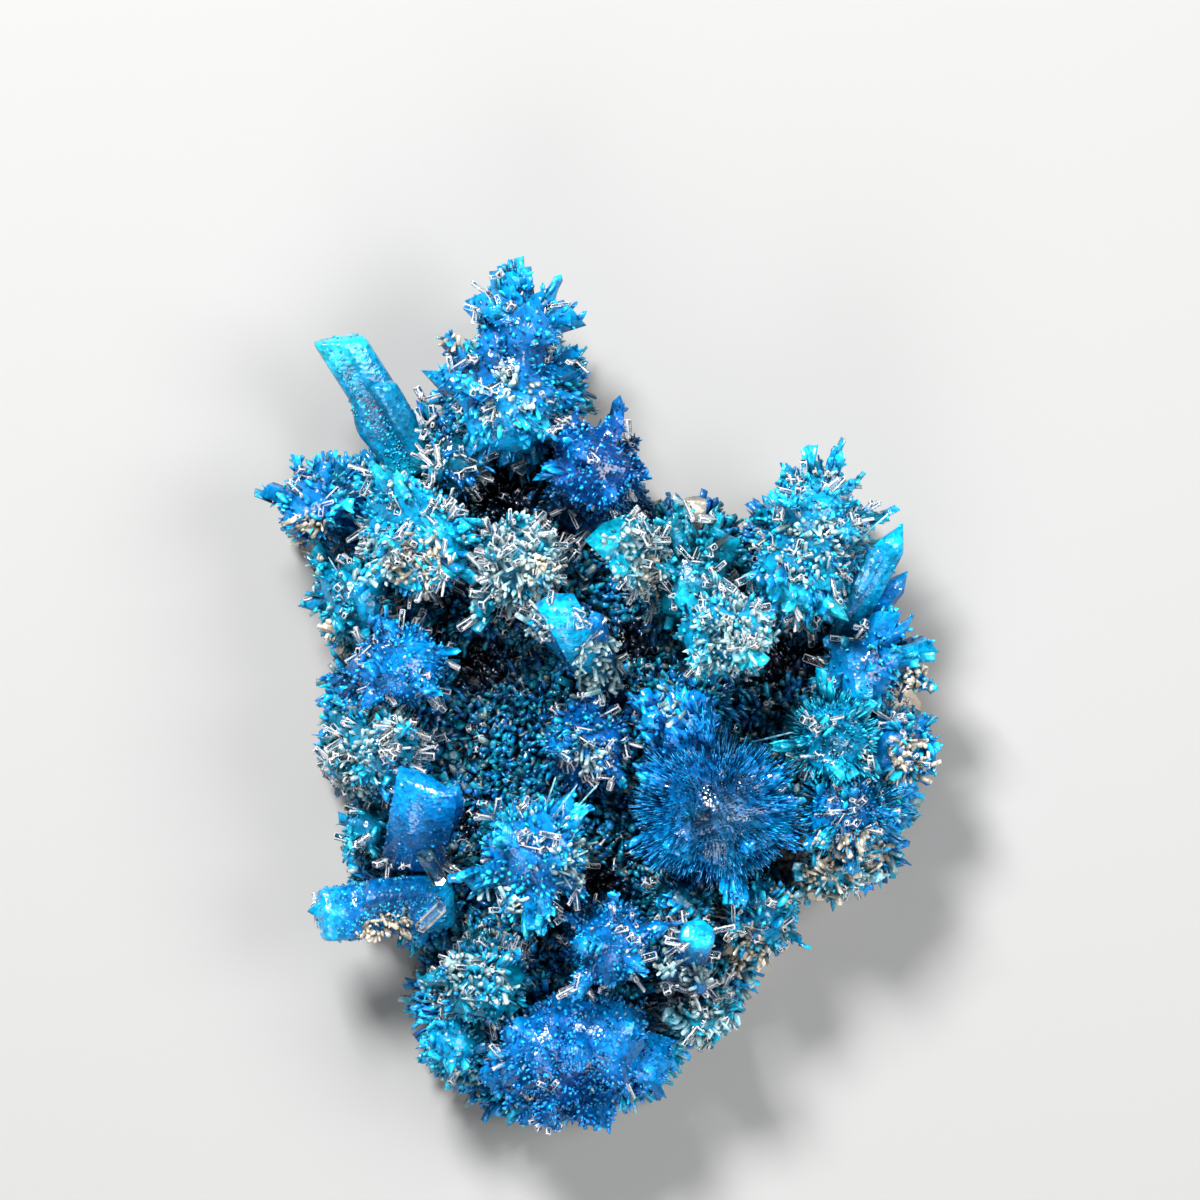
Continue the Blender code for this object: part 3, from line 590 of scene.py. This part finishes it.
def shade(palette, share, variety, light):
    """Colour points by their share of a crystal's length, darkened where little light falls."""
    root, body, tip = (np.array(colour) for colour in PALETTES[palette])
    share = share[:, None]
    low = root + (body - root) * np.clip(share * 2.0, 0.0, 1.0)
    colour = low + (tip - low) * np.clip(share * 2.0 - 1.0, 0.0, 1.0)
    colour = colour * (DARKEST_VARIETY + variety[:, None])
    return np.clip(colour * light[:, None], 0.0, 1.0)


def circle_share(points, circles):
    """Return how strongly each point lies in any of the circles, from 0 to 1."""
    share = np.zeros(len(points))
    for across, along, radius in circles:
        distance = np.hypot(points[:, 0] - across * MM, points[:, 1] - along * MM)
        share = np.maximum(share, np.exp(-((distance / (radius * MM)) ** CIRCLE_SHARPNESS)))
    return share


def depth_light(points):
    """Return how much light reaches points: little in the hollows, all of it on top."""
    height = np.clip((points[:, 2] - VALLEY_FLOOR) / (VALLEY_RIM - VALLEY_FLOOR), 0.0, 1.0)
    rise = height * height * (3.0 - 2.0 * height)
    outward = np.hypot(points[:, 0] / OUTLINE_HALF_X, points[:, 1] / OUTLINE_HALF_Y)
    edge = np.clip((outward - EDGE_START) / EDGE_BAND, 0.0, 1.0)
    light = VALLEY_LIGHT + (1.0 - VALLEY_LIGHT) * np.maximum(rise, EDGE_LIGHT * edge)
    below = np.clip((HOLLOW_TOP - points[:, 2]) / HOLLOW_DEPTH, 0.0, 1.0)
    hollow_light = 1.0 - HOLLOW_DARKNESS * below * circle_share(points, HOLLOWS)
    from_sun = np.hypot(points[:, 0] - SUN_MIDDLE[0] * MM, points[:, 1] - SUN_MIDDLE[1] * MM)
    sun = np.clip(from_sun / SUN_RADIUS, 0.0, 1.0)
    return light * hollow_light * (SUN_CORE_LIGHT + (1.0 - SUN_CORE_LIGHT) * sun**SUN_FADE)


def solid_part(triangles, palette, variety):
    """Turn a solid's own triangles into a part, coloured by distance from its middle: darker towards
    the middle as painted shade, lighter outwards.
    """
    corners = np.round(triangles.reshape(-1, 3), WELD_DECIMALS)
    points, faces = np.unique(corners, axis=0, return_inverse=True)
    faces = faces.reshape(-1, 3)
    middle = points.mean(axis=0)
    distance = np.linalg.norm(points - middle, axis=1)
    share = np.clip(distance / np.percentile(distance, SOLID_PERCENTILE), 0.0, 1.0) ** SOLID_FADE
    colours = shade(palette, share, np.full(len(points), variety), depth_light(points))
    return dict(points=points, faces=faces, colours=colours, slot=0)


def grown_part(roots, directions, look, palette, slot, chance, sides=FINE_SIDES):
    """Grow one set of crystals and colour it."""
    count = len(roots)
    lengths = chance.uniform(*look["length"], count) * MM
    widths = chance.uniform(*look["width"], count) * MM
    thicknesses = widths * chance.uniform(*look.get("flatness", FLATNESS), count)
    pointed = chance.random(count) < POINTED_SHARE
    tips = np.where(pointed, chance.uniform(*POINT_LENGTH, count), FLAT_TIP)
    slants = np.where(pointed, 0.0, chance.uniform(*TIP_SLANT, count))
    sunk = roots - directions * ROOT_SINK
    points, faces, share, per = crystals(
        sunk, directions, lengths + ROOT_SINK, widths, thicknesses, tips, slants, sides, chance
    )
    variety = np.repeat(chance.random(count), per)
    light = np.repeat(depth_light(roots), per)
    colours = shade(palette, share, variety, light)
    return dict(points=points, faces=faces, colours=colours, slot=slot)


def grow_directions(points, normals, middle, radial, chance):
    """Turn crystals partly along the surface normal and partly away from a middle."""
    outward = unit(points - middle)
    scattered = random_unit(chance, len(points)) * DIRECTION_SPREAD * (FULL_SPREAD - radial)
    return unit(normals * (1.0 - radial) + outward * radial + scattered)


def new_material(name):
    """Start a material; return it, its node tree and its surface."""
    material = bpy.data.materials.new(name)
    material.use_nodes = True
    tree = material.node_tree
    return material, tree, tree.nodes["Principled BSDF"]


def add_noise(tree, place, scale, detail):
    """Add a cloudy pattern in the object's own space."""
    noise = tree.nodes.new("ShaderNodeTexNoise")
    noise.inputs["Scale"].default_value = scale
    noise.inputs["Detail"].default_value = detail
    tree.links.new(place.outputs["Object"], noise.inputs["Vector"])
    return noise


def add_grains(tree, place, surface, scale, strength, height):
    """Add a pattern of small cells that also stands out as a fine relief."""
    grains = tree.nodes.new("ShaderNodeTexVoronoi")
    grains.inputs["Scale"].default_value = scale
    tree.links.new(place.outputs["Object"], grains.inputs["Vector"])
    bump = tree.nodes.new("ShaderNodeBump")
    bump.inputs["Strength"].default_value = strength
    bump.inputs["Distance"].default_value = height
    tree.links.new(grains.outputs["Distance"], bump.inputs["Height"])
    tree.links.new(bump.outputs["Normal"], surface.inputs["Normal"])
    return grains


def add_range(tree, value, span, result):
    """Map a value from one span to another, and return what comes out."""
    mapped = tree.nodes.new("ShaderNodeMapRange")
    mapped.inputs["From Min"].default_value = span[0]
    mapped.inputs["From Max"].default_value = span[1]
    mapped.inputs["To Min"].default_value = result[0]
    mapped.inputs["To Max"].default_value = result[1]
    tree.links.new(value, mapped.inputs["Value"])
    return mapped.outputs["Result"]


def add_shaded_tint_node(tree):
    """Read the colour, with its painted light and shade, that is stored with each vertex."""
    shaded_tint = tree.nodes.new("ShaderNodeVertexColor")
    shaded_tint.layer_name = "shaded_tint"
    return shaded_tint.outputs["Color"]


def pentagonite_material(name, roughness, transmission):
    """A blue glassy crystal: colour from the tint with its painted light and shade, cloudy inside, with
    fine grains whose cells are lighter and darker, partly at random and partly as painted glints.
    """
    material, tree, surface = new_material(name)
    place = tree.nodes.new("ShaderNodeTexCoord")
    clouds = add_noise(tree, place, CLOUD_SCALE, CLOUD_DETAIL)
    cloud_light = add_range(tree, clouds.outputs["Fac"], CLOUD_SPAN, CLOUD_LIGHT)
    grains = add_grains(tree, place, surface, GRAIN_SCALE, GRAIN_BUMP, GRAIN_HEIGHT)
    # Each grain is lighter or darker: random tone and painted glints.
    grain_tone_and_glint = add_range(tree, grains.outputs["Color"], GRAIN_SPAN, GRAIN_TONE_AND_GLINT)
    both = tree.nodes.new("ShaderNodeMath")
    both.operation = "MULTIPLY"
    tree.links.new(cloud_light, both.inputs[0])
    tree.links.new(grain_tone_and_glint, both.inputs[1])
    mixed = tree.nodes.new("ShaderNodeVectorMath")
    mixed.operation = "SCALE"
    tree.links.new(add_shaded_tint_node(tree), mixed.inputs[0])
    tree.links.new(both.outputs["Value"], mixed.inputs["Scale"])
    tree.links.new(mixed.outputs["Vector"], surface.inputs["Base Color"])
    rough_span = (roughness * SMOOTHEST, roughness * ROUGHEST)
    rough = add_range(tree, clouds.outputs["Fac"], CLOUD_ROUGH_SPAN, rough_span)
    tree.links.new(rough, surface.inputs["Roughness"])
    surface.inputs["Transmission Weight"].default_value = transmission
    surface.inputs["IOR"].default_value = PENTAGONITE_IOR
    return material


def clear_material(name, transmission):
    """Colourless calcite with faint veils: glassy, or less clear and whiter where it paints the bright
    edge highlights on the rims.
    """
    material, tree, surface = new_material(name)
    surface.inputs["Base Color"].default_value = CALCITE_COLOUR
    surface.inputs["Transmission Weight"].default_value = transmission
    surface.inputs["IOR"].default_value = CALCITE_IOR
    place = tree.nodes.new("ShaderNodeTexCoord")
    veils = add_noise(tree, place, VEIL_SCALE, VEIL_DETAIL)
    rough = add_range(tree, veils.outputs["Fac"], VEIL_SPAN, VEIL_ROUGHNESS)
    tree.links.new(rough, surface.inputs["Roughness"])
    return material


def rock_material(name):
    """Granular pale calcite with tan stains."""
    material, tree, surface = new_material(name)
    place = tree.nodes.new("ShaderNodeTexCoord")
    stains = add_noise(tree, place, STAIN_SCALE, STAIN_DETAIL)
    ramp = tree.nodes.new("ShaderNodeValToRGB")
    for element, (position, colour) in zip(ramp.color_ramp.elements, STAIN_STOPS):
        element.position = position
        element.color = colour
    tree.links.new(stains.outputs["Fac"], ramp.inputs["Fac"])
    stained = tree.nodes.new("ShaderNodeVectorMath")
    stained.operation = "MULTIPLY"
    tree.links.new(ramp.outputs["Color"], stained.inputs[0])
    tree.links.new(add_shaded_tint_node(tree), stained.inputs[1])
    tree.links.new(stained.outputs["Vector"], surface.inputs["Base Color"])
    surface.inputs["Roughness"].default_value = ROCK_ROUGHNESS
    add_grains(tree, place, surface, ROCK_GRAIN_SCALE, ROCK_GRAIN_BUMP, ROCK_GRAIN_HEIGHT)
    return material


def floor_material():
    """Plain pale matt floor."""
    material, _, surface = new_material("pale_floor")
    surface.inputs["Base Color"].default_value = FLOOR_COLOUR
    surface.inputs["Roughness"].default_value = FLOOR_ROUGHNESS
    return material


def evaluated_mesh(piece):
    """Return a copy of a piece's mesh with its modifiers applied."""
    bpy.context.view_layer.update()
    depsgraph = bpy.context.evaluated_depsgraph_get()
    return bpy.data.meshes.new_from_object(piece.evaluated_get(depsgraph))


def make_rock(rock_finish):
    """Replace the rock's solid with a granular surface of the same form."""
    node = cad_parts[ROCK_NODE]
    rock = bpy.data.objects.new("granular_rock", node.data.copy())
    bpy.context.scene.collection.objects.link(rock)
    rock.data.materials.clear()
    remesh = rock.modifiers.new("grains", "REMESH")
    remesh.mode = "VOXEL"
    remesh.voxel_size = ROCK_VOXEL
    mesh = evaluated_mesh(rock)
    rock.modifiers.clear()
    rock.data = mesh
    for vertex in mesh.vertices:
        if vertex.co.z > FLAT_CUT_TOP:
            place = vertex.co / MM
            lump = fractal(place * LUMP_WAVES_PER_MM, LUMP_SMOOTHNESS, LUMP_STEP, LUMP_OCTAVES)
            grain = smooth_noise(place * GRAIN_WAVES_PER_MM)
            vertex.co += vertex.normal * ROCK_SWELL * (LUMP_SHARE * lump + GRAIN_SHARE * grain)
        vertex.co.z = max(vertex.co.z, 0.0)
    points = np.empty(len(mesh.vertices) * 3)
    mesh.vertices.foreach_get("co", points)
    points = points.reshape(-1, 3)
    bare = circle_share(points, BARE_PATCHES)
    foot = np.clip((BARE_FOOT_TOP - points[:, 2]) / BARE_FOOT_BLEND, 0.0, 1.0)
    bare = np.maximum(bare, foot)[:, None]
    # The cover is darkened further with painted shade; the bare rock keeps its pale colour.
    cover_and_shade = COVER_AND_SHADE_COLOUR * depth_light(points)[:, None]
    add_shaded_tint(mesh, cover_and_shade + (BARE_COLOUR - cover_and_shade) * bare)
    mesh.materials.append(rock_finish)
    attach(rock, "root")
    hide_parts(ROCK_NODE)


def rounded(node):
    """Return the triangles of a solid with its edges worn round."""
    copy = bpy.data.objects.new("rounding", node.data.copy())
    bpy.context.scene.collection.objects.link(copy)
    remesh = copy.modifiers.new("even", "REMESH")
    remesh.mode = "VOXEL"
    remesh.voxel_size = ROUNDING_VOXEL
    smooth = copy.modifiers.new("worn", "SMOOTH")
    smooth.iterations = ROUNDING_PASSES
    copy.data = evaluated_mesh(copy)
    triangles = node_triangles(copy)
    bpy.data.objects.remove(copy, do_unlink=True)
    return triangles


def dress_node(name, look, finishes, tree, chance):
    """Replace one solid with the same solid under small crystals."""
    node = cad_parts[name]
    triangles = rounded(node) if name in ROUNDED_NODES else node_triangles(node)
    middle = triangles.reshape(-1, 3).mean(axis=0) - np.array([0.0, 0.0, MIDDLE_DROP])
    if name == SUN_NODE:
        middle = np.array((*SUN_MIDDLE, SUN_HEIGHT)) * MM
    parts = [solid_part(triangles, look["main"], CORE_VARIETY)]
    points, normals = scatter(triangles, look["fine"] * SPARE_POINTS, chance)
    free = open_points(tree, points, normals, WALL_REACH) & (normals[:, 2] > UNDERSIDE)
    points = points[free]
    normals = normals[free]
    reach = np.linalg.norm(points - middle, axis=1)
    reach_share = reach / np.percentile(reach, TIP_PERCENTILE)
    outer = np.clip((reach_share - TIP_START) / TIP_BAND, 0.0, 1.0)
    kept = chance.random(len(points)) > outer * CLEAN_TIPS
    tips = points[outer > BROAD_START]
    points = points[kept][: look["fine"]]
    normals = normals[kept][: look["fine"]]
    if name == SUN_NODE:
        from_middle = np.hypot(points[:, 0] - middle[0], points[:, 1] - middle[1])
        ball = from_middle <= SUN_BALL * MM
        beside = np.flatnonzero(~ball)[::SUN_FIBRES_PER_CRYSTAL]
        directions = grow_directions(points[beside], normals[beside], middle, BESIDE_SUN_RADIAL, chance)
        parts.append(grown_part(points[beside], directions, BESIDE_SUN, "deep", 0, chance))
        points = points[ball]
        normals = normals[ball]
    parts.extend(fine_parts(points, normals, middle, look, chance))
    if look["broad"] and len(tips):
        parts.extend(broad_parts(tips, middle, look, chance))
    piece = build_mesh(f"{name}_crystals", parts, finishes)
    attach(piece, "root")
    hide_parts(name)


def fine_parts(points, normals, middle, look, chance):
    """Grow a group's fine crystals in its two palettes and in white."""
    directions = grow_directions(points, normals, middle, look["radial"], chance)
    draw = chance.random(len(points))
    white = draw < look["white"]
    second = ~white & (draw > SECOND_FROM)
    main = ~white & ~second
    parts = []
    for chosen, palette, slot in (
        (main, look["main"], 0),
        (second, look["second"], 0),
        (white, "white", 1),
    ):
        if chosen.any():
            parts.append(grown_part(points[chosen], directions[chosen], look, palette, slot, chance))
    return parts


def broad_parts(tips, middle, look, chance):
    """Grow broad blades at a group's tips, half of them in each palette."""
    roots = tips[chance.integers(0, len(tips), int(look["broad"] * BROAD_TIMES))]
    directions = grow_directions(roots, unit(roots - middle), middle, BROAD_RADIAL, chance)
    half = len(roots) // 2
    parts = []
    for chosen, palette in ((slice(0, half), look["main"]), (slice(half, None), look["second"])):
        sunk = roots[chosen] - directions[chosen] * BROAD_SINK * MM
        parts.append(grown_part(sunk, directions[chosen], BROAD_BLADE, palette, 0, chance, BROAD_SIDES))
    return parts


def make_valley_druse(finishes, tree, chance):
    """Cover the rock between the sprays with low crystals, and paint the hollows' shade with near-black
    crystals.
    """
    triangles = node_triangles(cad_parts[ROCK_NODE])
    points, normals = scatter(triangles, VALLEY_CRYSTALS * VALLEY_SPARE, chance)
    covered = chance.random(len(points)) > circle_share(points, BARE_PATCHES)
    good = (points[:, 2] > VALLEY_LOWEST) & covered
    points = points[good]
    normals = normals[good]
    free = open_points(tree, points, normals, VALLEY_REACH)
    points = points[free][:VALLEY_CRYSTALS]
    normals = normals[free][:VALLEY_CRYSTALS]
    directions = unit(normals + random_unit(chance, len(points)) * VALLEY_LEAN)
    draw = chance.random(len(points))
    # Crystals in the hollows take the near-black palette as painted shade.
    shaded_hollow = circle_share(points, HOLLOWS) > HOLLOW_EDGE
    names = ["hollow_shade"] + [palette for palette, _ in VALLEY_MIX]
    chosen_by = [shaded_hollow] + [draw < limit for _, limit in VALLEY_MIX]
    palettes = np.select(chosen_by, names, "white")
    parts = []
    for palette in (*names, "white"):
        chosen = palettes == palette
        slot = 1 if palette == "white" else 0
        parts.append(grown_part(points[chosen], directions[chosen], VALLEY_LOOK, palette, slot, chance))
    piece = build_mesh("valley_druse", parts, finishes)
    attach(piece, "root")


def make_crusts(finish, tree, chance):
    """Sprinkle sugary white and cream crystals in the crusted places."""
    places = []
    directions = []
    palettes = []
    for across, along, radius, count, palette in CRUSTS:
        distance = radius * MM * np.sqrt(chance.random(count))
        angle = chance.uniform(0.0, 2.0 * math.pi, count)
        landed, normals = highest_points(
            tree, across * MM + distance * np.cos(angle), along * MM + distance * np.sin(angle)
        )
        high = landed[:, 2] > CRUST_LOWEST
        kept = int(high.sum())
        places.append(landed[high])
        directions.append(unit(normals[high] + random_unit(chance, kept) * CRUST_LEAN))
        palettes.extend([palette] * kept)
    places = np.concatenate(places)
    directions = np.concatenate(directions)
    count = len(places)
    widths = chance.uniform(*CRUST_WIDTH, count) * MM
    lengths = chance.uniform(*CRUST_LENGTH, count) * MM
    thicknesses = widths * chance.uniform(*TABLET_FLATNESS, count)
    sunk = places - directions * CRUST_SINK
    vertices, faces, _ = tablets(sunk, directions, lengths, widths, thicknesses, chance)
    variety = np.repeat(chance.random(count), TABLET_CORNERS)
    share = np.tile(np.repeat(RING_SHARES, RING_CORNERS), count)
    cream = np.repeat(np.array(palettes) == "cream", TABLET_CORNERS)[:, None]
    light = depth_light(vertices)
    cream_colours = shade("cream", share, variety, light)
    colours = np.where(cream, cream_colours, shade("white", share, variety, light))
    part = dict(points=vertices, faces=faces, colours=colours, slot=0)
    piece = build_mesh("pale_crusts", [part], [finish])
    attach(piece, "root")


def clear_places(tree, chance):
    """Pick free places for sheaves of colourless prisms, and their normals."""
    wanted = {name: look["clear"] for name, look in LOOKS.items()}
    wanted[ROCK_NODE] = ROCK_CLEAR_SHARE
    surfaces = [node_triangles(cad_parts[name]) for name in wanted]
    picked = [scatter(triangles, CLEAR_DRAWS, chance) for triangles in surfaces]
    areas = np.array([triangle_area(triangles) for triangles in surfaces])
    shares = areas * np.array(list(wanted.values()))
    shares /= shares.sum()
    counts = [max(1, int(share * CLEAR_PRISMS * CLEAR_SPARE)) for share in shares]
    points = np.concatenate([places[:count] for (places, _), count in zip(picked, counts)])
    normals = np.concatenate([upward[:count] for (_, upward), count in zip(picked, counts)])
    good = (normals[:, 2] > CLEAR_UNDERSIDE) & (points[:, 2] > CLEAR_LOWEST)
    points = points[good]
    normals = normals[good]
    mixed = chance.permutation(len(points))
    points = points[mixed]
    normals = normals[mixed]
    free = open_points(tree, points, normals, CLEAR_REACH)
    sheaves = CLEAR_PRISMS // SHEAF_SIZE
    return points[free][:sheaves], normals[free][:sheaves]


def make_clear_prisms(finishes, tree, chance):
    """Scatter stubby colourless prisms in small sheaves over every spray and the valleys."""
    points, normals = clear_places(tree, chance)
    points = np.repeat(points, SHEAF_SIZE, axis=0)
    normals = np.repeat(normals, SHEAF_SIZE, axis=0)
    count = len(points)
    points = points + random_unit(chance, count) * SHEAF_SPREAD * MM
    directions = unit(normals * CLEAR_UPRIGHT + random_unit(chance, count))
    inward = np.einsum("ij,ij->i", directions, normals)[:, None] < 0.0
    directions = np.where(inward, -directions, directions)
    lengths = chance.uniform(*CLEAR_LENGTH, count) * MM
    widths = chance.uniform(*CLEAR_WIDTH, count) * MM
    thicknesses = widths * chance.uniform(*TABLET_FLATNESS, count)
    roots = points - normals * SHEAF_SINK * MM
    vertices, faces, highlight_rim = tablets(roots, directions, lengths, widths, thicknesses, chance)
    part = dict(points=vertices, faces=faces, colours=np.ones((len(vertices), 3)), slot=0)
    piece = build_mesh("clear_prisms", [part], finishes)
    # Rim faces take the whiter finish: painted edge highlights.
    piece.data.polygons.foreach_set("material_index", highlight_rim.astype(np.int32))
    piece.data.update()
    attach(piece, "root")


def make_needles(finish, chance):
    """Add the long thin needles that stand clear of the crust."""
    roots = np.array([root for root, _ in NEEDLES]) * MM
    ends = np.array([end for _, end in NEEDLES]) * MM
    count = len(NEEDLES)
    lengths = np.linalg.norm(ends - roots, axis=1)
    directions = unit(ends - roots)
    widths = np.full(count, NEEDLE_WIDTH * MM)
    tips = np.full(count, NEEDLE_TIP)
    vertices, faces, share, per = crystals(
        roots, directions, lengths, widths, widths, tips, np.zeros(count), NEEDLE_SIDES, chance
    )
    colours = shade("pale", share, np.repeat(chance.random(count), per), np.ones(len(vertices)))
    part = dict(points=vertices, faces=faces, colours=colours, slot=0)
    piece = build_mesh("needles", [part], [finish])
    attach(piece, "root")


def make_clear_nodes(finish, highlight_rim_finish):
    """Give the two large colourless prisms a bevelled glassy body, with whiter bevels as painted edge
    highlights.
    """
    for name in CLEAR_NODES:
        piece = bpy.data.objects.new(f"{name}_glass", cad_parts[name].data.copy())
        bpy.context.scene.collection.objects.link(piece)
        piece.data.materials.clear()
        piece.data.materials.append(finish)
        piece.data.materials.append(highlight_rim_finish)
        edge = piece.modifiers.new("edge", "BEVEL")
        edge.width = GLASS_BEVEL
        edge.segments = GLASS_BEVEL_STEPS
        edge.material = 1
        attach(piece, "root")
        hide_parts(name)


def make_cream_crystal(finish):
    """Give the cream calcite crystal its waxy body."""
    triangles = node_triangles(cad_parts[CREAM_NODE])
    part = solid_part(triangles, "cream", CREAM_VARIETY)
    piece = build_mesh("cream_crystal_body", [part], [finish])
    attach(piece, "root")
    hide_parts(CREAM_NODE)


def make_floor():
    """Lay the pale floor."""
    corners = [(x * FLOOR_HALF, y * FLOOR_HALF, 0.0) for x, y in ((-1, -1), (1, -1), (1, 1), (-1, 1))]
    mesh = bpy.data.meshes.new("floor")
    mesh.from_pydata(corners, [], [(0, 1, 2, 3)])
    mesh.materials.append(floor_material())
    floor = bpy.data.objects.new("floor", mesh)
    bpy.context.scene.collection.objects.link(floor)


def make_light():
    """Light the specimen softly, and keep the blues vivid with a plain view transform."""
    target = Vector((0.0, 0.0, MIDDLE_HEIGHT))
    for name, place, size, power in LAMPS:
        light = bpy.data.lights.new(name, "AREA")
        light.size = size
        light.energy = power
        lamp = bpy.data.objects.new(name, light)
        lamp.location = place
        lamp.rotation_euler = (target - Vector(place)).to_track_quat("-Z", "Y").to_euler()
        bpy.context.scene.collection.objects.link(lamp)
    world = bpy.data.worlds.new("studio")
    world.use_nodes = True
    background = world.node_tree.nodes["Background"]
    background.inputs["Color"].default_value = SKY_COLOUR
    background.inputs["Strength"].default_value = SKY_STRENGTH
    bpy.context.scene.world = world
    bpy.context.scene.view_settings.view_transform = "Standard"


def make_camera():
    """Look straight down on the specimen, as the photo does."""
    camera = bpy.data.cameras.new("camera")
    camera.type = "PERSP"
    camera.sensor_width = SENSOR_WIDTH
    camera.lens = SENSOR_WIDTH * (CAMERA_DISTANCE - MIDDLE_HEIGHT) / VIEW_WIDTH
    camera.clip_start = NEAR_CLIP
    viewer = bpy.data.objects.new("camera", camera)
    viewer.location = (0.0, VIEW_CENTRE_Y, CAMERA_DISTANCE)
    bpy.context.scene.collection.objects.link(viewer)
    bpy.context.scene.camera = viewer


def main():
    """Dress every node, scatter the free crystals and set the stage."""
    chance = np.random.default_rng(SEED)
    tree = world_tree()
    blue = pentagonite_material("blue_crystal", *BLUE_FINISH)
    pale = pentagonite_material("pale_crystal", *PALE_FINISH)
    # The druse is darkened by the painted shade in its colours.
    druse = pentagonite_material("shaded_druse", *DRUSE_FINISH)
    clear = clear_material("clear_crystal", GLASS_TRANSMISSION)
    # The whiter rim finish paints the bright edge highlights.
    highlight_rim = clear_material("rim_painted_highlight", RIM_TRANSMISSION)
    make_rock(rock_material("granular_calcite"))
    for name, look in LOOKS.items():
        dress_node(name, look, [blue, pale], tree, chance)
    make_valley_druse([druse, pale], tree, chance)
    make_crusts(pale, tree, chance)
    make_clear_prisms([clear, highlight_rim], tree, chance)
    make_clear_nodes(clear, highlight_rim)
    make_needles(pale, chance)
    make_cream_crystal(pale)
    make_floor()
    make_light()
    make_camera()


main()
